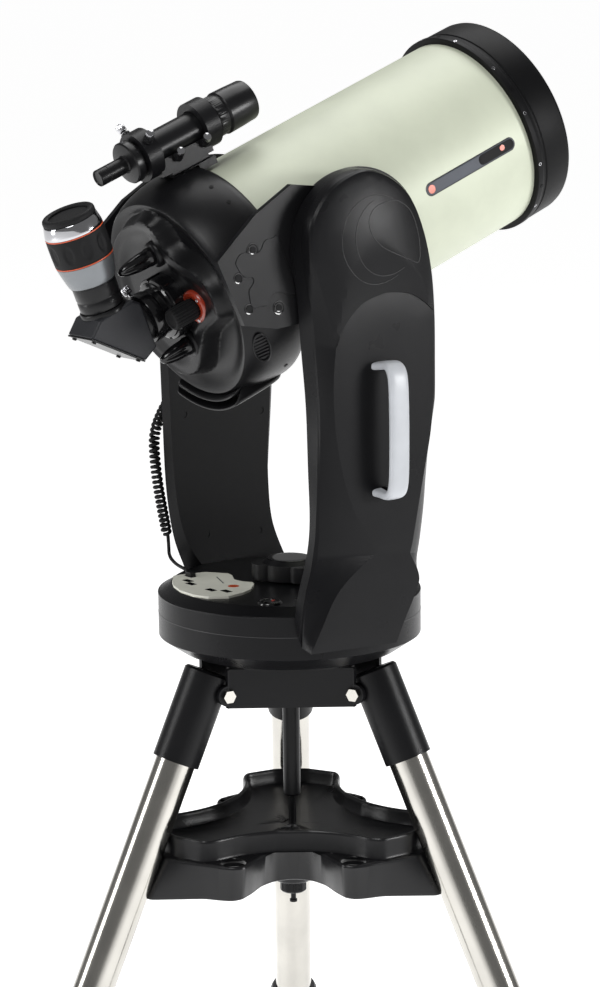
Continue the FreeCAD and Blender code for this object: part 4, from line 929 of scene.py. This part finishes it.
def make_eyepiece():
    """Eyepiece in bands: barrel, pale taper, dimpled rubber between two coloured lines, bright band."""
    place = TUBE @ at(0, DIAGONAL_S, 0)
    barrel = [(24.4, 16), (25.2, 17), (25.3, 40.6), (26.4, 41), (27, 41.8), (27, 53), (26.2, 54), (26.2, 56),
              (27, 57), (27, 72.4), (28.2, 73.4), (28.2, 74.4), (26, 75)]
    body = piece("eyepiece_barrel", turned(barrel, 96), "satin", "eyepiece", place, sharp=40)
    taper = [(27.0, 74), (28.6, 74.4), (29.4, 75.8), (31.0, 81), (32.8, 88), (34.6, 96), (35.8, 102.4),
             (34.6, 102.8)]
    piece("eyepiece_taper", turned(taper, 120), "anodised", "eyepiece", place, sharp=30)

    def dimpled(angle, radius, height):
        part = ((angle * 10 / (2 * pi)) % 1 - 0.5) * 2
        hollow = 1 - (part / 0.62) ** 2 - ((height - 121.5) / 12.5) ** 2
        return radius - 1.6 * max(0.0, min(1.0, hollow * 1.6))

    grip = [(35.2, 104.4), (35.9, 104.8)]
    grip += [(36.1 + 0.4 * sin(pi * k / 24), 105.2 + k * 1.37) for k in range(25)]
    grip += [(35.8, 138.6), (35.2, 138.8)]
    piece("eyepiece_grip", turned(grip, 200, dimpled), "rubber", "eyepiece", place, sharp=70)
    radius = 35.9
    for number, height in enumerate((103.6, 139.3)):
        line = [(radius - 2, height - 0.7), (radius, height - 0.6), (radius + 0.2, height),
                (radius, height + 0.6), (radius - 2, height + 0.7)]
        piece(f"eyepiece_line_{number}", turned(line, 96), "orange", "eyepiece", place, sharp=60)
    neck = [(27.8, 139.6), (27.8, 157.6), (24, 158), (22.4, 156.6), (22, 153), (0.01, 151.6)]
    piece("eyepiece_eye_end", turned(neck, 96), "groove", "eyepiece", place, sharp=30)
    lens = [(22.2, 151.8), (18, 153.4), (12, 154.6), (6, 155.2), (0.01, 155.4)]
    piece("eye_lens", turned(lens, 64), "coated", "eyepiece", place, sharp=60)
    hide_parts("eyepiece")
    band = [(31, 140.2), (35.5, 140.2), (35.9, 140.8), (35.6, 143.6), (34.4, 149), (33.1, 154),
            (32.4, 155), (30, 155.2)]
    piece("eyepiece_band", turned(band, 128), "chrome", "eyecup", place, sharp=40)
    cup = [(30, 155.4), (32, 155.4), (32.6, 156.4), (32.6, 159.4), (32.0, 161.4), (30.6, 162.7), (28.4, 163),
           (25.6, 162.4), (24.2, 161.2), (24.4, 159.8), (29, 159.4)]
    rim = piece("eyecup_rubber", turned(cup, 128), "rubber", "eyecup", place, sharp=60)
    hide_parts("eyecup")


# ---- finder ----
def make_finder():
    """Finder with its eyepiece end, knurled ring and flared front, and the screws that hold it."""
    x, u = FINDER_PLACE
    base = TUBE @ at(x, 0, u) @ FORWARD

    def knurled(angle, radius, height):
        if -43 < height < -30 and radius > 25:
            return radius - 0.5 * (0.5 + 0.5 * cos(60 * angle))
        return radius

    tube = [(0.01, -214), (8.4, -214.4), (9.4, -216), (10.2, -215.4), (10.3, -214), (10.3, -204),
            (9.8, -203.4), (9.8, -202.4), (10.3, -201.8), (10.3, -177), (11.6, -175.4), (20, -174.6),
            (24.6, -173.8), (26, -172), (26, -163.6), (25.2, -162), (20.5, -161), (20.5, -44.6),
            (22, -44.2), (24.6, -43.8), (25.5, -42.8), (25.5, -30.2), (24.8, -29.2), (26, -28.4),
            (27.1, -26.6), (26.6, -8), (25.6, 13), (25.0, 14.6), (24.2, 15), (23.6, 14.2), (23.4, -6),
            (22.4, -8)]
    body = piece("finder_body", turned(tube, 144, knurled), "satin", "tube", base, sharp=30)
    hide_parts("finder_tube")
    lens = [(22.6, -8.5), (18, -6.8), (11, -5.4), (0.01, -4.8)]
    piece("finder_lens", turned(lens, 64), "coated", "tube", base, sharp=60)
    heads = []
    nuts = []
    spots = [(Vector((x, -148, u)), radians(a), 20.5, 31.2) for a in (40, 130)]
    spots += [(Vector((x + 14, s, 158)), atan2(0.6, 0.8), 0.0, 8.2) for s in (-115, -74)]
    for centre, a, touch, nut_start in spots:
        spot = facing(centre, Vector((cos(a), 0, sin(a))))
        end = nut_start + 16.8
        head = [(0.01, touch), (2.4, touch), (2.4, end - 11.6), (3.2, end - 10.8), (4.6, end - 10.4),
                (5.4, end - 9.4), (5.5, end - 2), (4.8, end - 0.5), (2, end), (0.01, end)]
        heads.append(moved(turned(head, 80, milled(20, 0.55)), spot))
        nut = [(2.6, nut_start), (5.8, nut_start), (6.0, nut_start + 0.5), (6.0, nut_start + 3.0),
               (5.8, nut_start + 3.5), (2.6, nut_start + 3.5)]
        nuts.append(moved(turned(nut, 48), spot))
    screws = piece("finder_thumbscrews", joined(*heads), "chrome", "tube", TUBE, sharp=50)
    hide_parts("finder_screws")
    piece("finder_lock_nuts", joined(*nuts), "satin", "tube", TUBE, sharp=50)


# ---- front of the tube ----
def make_front_ring():
    """Ring casting round the corrector lens, its screws, and both faces of the secondary's cell."""
    base = TUBE @ FORWARD
    profile = [(126.7, 309.2), (133.6, 309.2), (134.4, 310.2), (134.5, 316.4), (134.0, 318.4), (133.4, 319.6),
               (133.2, 322.4), (132.0, 323.4), (131.8, 325.4), (133.0, 326.6), (133.3, 330), (133.0, 362),
               (132.2, 365.4), (130.6, 367.2), (129, 367.7), (123.5, 367.7), (121.8, 366.8), (120.6, 364.6),
               (119.6, 359.5), (118.6, 356.5), (118.5, 354.8), (114, 354.6), (114, 346), (122, 339)]
    ring = piece("front_ring_casting", turned(profile, 256), "cover_dark_and_shade", "tube", base, sharp=30)
    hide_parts("front_ring")
    screws = []
    for a in around(12, 15):
        way = Vector((cos(a), sin(a), 0))
        screws.append(moved(hexed(2.4, 1.2, 0.5, 2.6), facing(way * 134.0 + Vector((0, 0, 313.4)), way)))
    piece("front_ring_screws", joined(*screws), "chrome", "tube", base)
    caps = [moved(hexed(2.4, 1.4, 0.9, 2.8), at(115.8 * cos(a), 115.8 * sin(a), 355.2))
            for a in around(6, 30)]
    piece("lens_ring_screws", joined(*caps), "gloss", "tube", base)
    cell = [(34, 355), (43, 355), (43, 361), (42.2, 363), (39, 365.6), (37.5, 366), (36, 365), (35, 364.2),
            (30, 364), (29, 364.8), (27, 365), (0.01, 365.2)]
    cap = piece("secondary_cap", turned(cell, 96), "satin", "tube", base, sharp=35)
    back = [(0.01, 336), (32, 336), (32, 341.6), (42, 342), (42, 349.9), (34.5, 350), (34.5, 356)]
    piece("secondary_back", turned(back, 96), "satin", "tube", base, sharp=35)
    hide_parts("secondary_cell")


def wrapped(outline, radius, lift):
    """Thin plate that follows the tube's side; the outline is (s, u)."""
    rings = []
    middle = Vector((sum(p[0] for p in outline) / len(outline), sum(p[1] for p in outline) / len(outline)))
    edge = [(1.0, -0.3), (1.0, lift * 0.7)]
    for scale, extra in edge + [(scale, lift) for scale in (0.985, 0.8, 0.5, 0.2)]:
        row = []
        for s, u in outline:
            spot = middle + (Vector((s, u)) - middle) * scale
            r = radius + extra
            row.append((sqrt(r * r - spot.y ** 2), spot.x, spot.y))
        rings.append(row)
    return grid(rings, ends=True)


def capsule(start, end, low, high, steps=10):
    r = (high - low) / 2
    middle = (high + low) / 2
    points = []
    for k in range(steps + 1):
        a = -pi / 2 + pi * k / steps
        points.append((end - r + r * cos(a), middle + r * sin(a)))
    for k in range(steps + 1):
        a = pi / 2 + pi * k / steps
        points.append((start + r + r * cos(a), middle + r * sin(a)))
    return points


def make_label():
    """Plain label on the tube's side, with a coloured dot and a dark end, and no lettering."""
    layers = (("edge", (136.5, 287.5, -0.6, 16.6), 0.35, "groove"),
              ("face", (137.6, 286.4, 0.5, 15.5), 0.6, "strip"),
              ("end", (226, 285.4, 1.5, 14.5), 0.85, "rubber"),
              ("dot", (140, 151, 2.5, 13.5), 0.95, "orange"),
              ("mark", (262, 270, 5.5, 12.5), 1.05, "orange"))
    for name, span, lift, look in layers:
        piece("label_" + name, wrapped(capsule(*span), TUBE_R, lift), look, "tube", TUBE)


# ---- base ----
def make_base_details():
    """Seam and rim of the drum, the power switch, the clutch's cap, port liners and marks on the panel."""
    seam = [(166.0, 58.0), (166.75, 58.05), (166.75, 58.95), (166.0, 59.0)]
    piece("drum_seam", turned(seam, 192), "groove", "fork", FORK, sharp=60)
    rim = [(166.2, 81.8), (166.9, 82.6), (166.6, 83.9), (165.6, 84.5), (164.6, 84.2)]
    piece("drum_rim", turned(rim, 192), "cover", "fork", FORK, sharp=70)
    x, y = SWITCH_PLACE
    bezel = [(10.6, 0.2), (10.6, 2.0), (11.2, 3.1), (12.6, 3.4), (14.2, 2.8), (15.2, 1.6), (15.6, 0.0)]
    piece("switch_bezel", turned(bezel, 64), "gloss", "fork", FORK @ at(x, y, 94), sharp=50)
    rows = []
    for k in range(13):
        t = -1 + 2 * k / 12
        wide = 10.1 * sqrt(max(0.02, 1 - t * t))
        tall = 95.2 + 2.4 * abs(t - 0.15) ** 1.4
        rows.append([(x - wide, y + 10.1 * t, 93.6), (x - wide, y + 10.1 * t, tall),
                     (x + wide, y + 10.1 * t, tall), (x + wide, y + 10.1 * t, 93.6)])
    piece("switch_rocker", grid(rows, ends=True), "gloss", "power_switch", FORK, sharp=50)
    mark = oval(2.2, 2.2, 20, x, y + 5)
    piece("switch_mark", extruded(mark, 96.2, 97.3), "red", "power_switch", FORK, bevel=0.2)
    cap = [(0.01, 124.1), (20, 124.1), (26.5, 124.0), (27.8, 123.6), (28.6, 122.6)]
    piece("clutch_cap", turned(cap, 96), "gloss", "clutch_knob", FORK, sharp=40)
    liners = []
    for px, py in PORTS:
        w, h = PORT_HALF
        outline = [(px - w, py - h), (px + w, py - h), (px + w, py + h), (px - w, py + h)]
        inner = [(px + (a - px) * 0.93, py + (b - py) * 0.88) for a, b in outline]
        liners.append(grid([[(a, b, z) for a, b in ring] for ring, z in
                            ((outline, 94.2), (outline, 97.2), (inner, 97.2), (inner, 94.6))], ends=True))
    piece("port_liners", joined(*liners), "gloss", "fork", FORK, bevel=0.25)
    piece("panel_dot", extruded(oval(7, 7, 40, -4, -83), 96.9, 97.3), "orange", "fork", FORK, bevel=0.1)
    line = [(-62, -70), (-26, -84), (-25.4, -82.6), (-61.4, -68.6)]
    piece("panel_line", extruded(line, 96.9, 97.2), "strip", "fork", FORK)


# ---- accessory tray ----
def leg_side_r(z):
    """Radial place of the inner side of a leg tube at height z, with the tray's tip against it."""
    return LEG_TOP_R - z * tan(LEG_TILT) - LEG_TUBE_R / cos(LEG_TILT) + TIP_OVERLAP


def rim_corners():
    """Corners of half an arm's rim, from its tip to the round bay between two arms."""
    half = [(leg_side_r(TRAY_RIM_TOP), 21.5), (164, 62)]
    for k in range(5):
        a = radians(41 * (1 - k / 5))
        r = TRAY_BAY_CENTRE - TRAY_BAY_R * cos(a)
        side = -TRAY_BAY_R * sin(a)
        half.append(spun(r, side, radians(60)))
    return half


def even_arm(half):
    """Half an arm's outline with rounded corners, from the tip's middle to the bay's middle."""
    line = [Vector((half[0][0], 0))] + [Vector(c) for c in half]
    middle_way = Vector(spun(1, 0, radians(60)))
    rounded = [line[0]]
    stations = [0.0]
    for number, (before, here, after) in enumerate(zip(line, line[1:], line[2:]), 1):
        cut = min(CORNER_CUT, 0.4 * (here - before).length, 0.4 * (after - here).length)
        start = here + (before - here).normalized() * cut
        end = here + (after - here).normalized() * cut
        for t in (0, 0.25, 0.5, 0.75, 1):
            rounded.append(start * (1 - t) ** 2 + 2 * t * (1 - t) * here + end * t * t)
            stations.append(number + (t - 0.5) * 0.5)
    rounded += [line[-1], middle_way * line[-1].dot(middle_way)]
    stations += [len(half), len(half) + 0.5]
    wanted = np.linspace(0, stations[-1], ARM_POINTS)
    xs = np.interp(wanted, stations, [p.x for p in rounded])
    ys = np.interp(wanted, stations, [p.y for p in rounded])
    return list(zip(xs, ys))


def tray_outline(half, inward):
    """Closed outline of the three arms, moved inward by a distance."""
    arm = even_arm(half)
    whole = [(r, -side) for r, side in reversed(arm[1:-1])] + arm
    points = np.array([spun(r, side, way) for way in LEG_WAYS for r, side in whole])
    if inward:
        run = np.roll(points, -2, axis=0) - np.roll(points, 2, axis=0)
        run /= np.hypot(run[:, 0], run[:, 1])[:, None]
        points = points + inward * np.stack([-run[:, 1], run[:, 0]], 1)
    return points


def make_tray():
    """Three-armed tray: skirt, ledge with eyepiece holes, rolled rim round a flat deck, and its hub."""
    rim = rim_corners()
    ledge = [(leg_side_r(TRAY_LEDGE), 21.5), (168, 64), (156, 81), (142, 97), (128.5, 101), (110, 90),
             (85, 73), (63, 62), (46, 61)]
    bottom = [(leg_side_r(TRAY_BOTTOM), 17.5), (159, 52), (146, 68), (134, 79), (120, 80), (98, 67),
              (73, 48), (50, 40), (31, 44)]
    # each outline's rows, from the roof of the hollow round to the deck: distance inward, height
    stack = ((ledge, ((8, -240),)),
             (bottom, ((6, -284.5), (4.5, -286), (2, -286), (0.4, -284.6), (0, -282))),
             (ledge, ((0, -238.5), (0.8, -236), (2.4, -234.5), (4.5, TRAY_LEDGE))),
             (rim, ((-3.5, TRAY_LEDGE), (-1.2, -233), (-0.2, -230.5), (0, -211), (0.5, -208.6), (1.8, -207.2),
                    (3.4, -207.1), (4.8, -208.6), (5.6, -212), (7, -221), (9.5, -225), (13, TRAY_DECK))))
    rows = [[(x, y, z) for x, y in tray_outline(half, inward)]
            for half, steps in stack for inward, z in steps]
    deck = tray_outline(rim, 13)
    roof = tray_outline(ledge, 8)
    for scale in (0.7, 0.4, 0.1):
        rows.append([(x * scale, y * scale, TRAY_DECK) for x, y in deck])
        rows.insert(0, [(x * scale, y * scale, -240) for x, y in roof])
    tray = piece("tray_moulding", grid(rows, ends=True), "moulding", "tray", FORK, sharp=38)
    hole = turned([(TRAY_HOLE_R, -7), (TRAY_HOLE_R, -1.2), (TRAY_HOLE_R + 1.4, 0.6)], 40)
    cutters = [moved(hole, at(*spun(TRAY_HOLE[0], side * TRAY_HOLE[1], way), TRAY_LEDGE))
               for way in LEG_WAYS for side in (-1, 1)]
    carve(tray, joined(*cutters))
    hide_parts("accessory_tray")
    hub = [(26, -239), (26, -297), (24.6, -300.4), (22, -302), (5, -302), (5, -225.6), (9, -225.6),
           (9.4, -226.6)]
    piece("tray_hub", turned(hub, 72), "moulding", "tray", FORK, sharp=40)


def carve(thing, cutter_shape):
    """Cuts a shape out of a piece and keeps the result as its mesh."""
    cutter = piece("cutter", cutter_shape, "groove", "tray", FORK)
    cut = thing.modifiers.new("cut", "BOOLEAN")
    cut.object = cutter
    cut.solver = "EXACT"
    bpy.context.view_layer.update()
    result = bpy.data.meshes.new_from_object(thing.evaluated_get(bpy.context.evaluated_depsgraph_get()))
    thing.modifiers.clear()
    thing.data = result
    bpy.data.objects.remove(cutter)


def soften_castings():
    """Rounded edges on the pieces that are cast or moulded in one."""
    for names, width in ((("tripod_head", "finder_bracket"), 2.0),
                         (("near_arm_inner", "far_arm_inner", "far_arm_outer"), 1.5),
                         (("leg_fittings_a", "leg_fittings_b", "leg_fittings_c", "side_brackets"), 2.0),
                         (("clutch_knob", "control_panel", "tension_knob"), 0.9)):
        for name in names:
            soften(nodes[name], width, 30, 3)


add_camera()
add_stage()
add_light()
looks = make_materials()
paint_nodes()
make_cord()
make_near_arm()
make_handle()
make_rear_cell()
make_cheeks()
make_focus_knob()
make_locks()
make_visual_back()
make_diagonal()
make_eyepiece()
make_finder()
make_front_ring()
make_label()
make_base_details()
make_tray()
soften_castings()
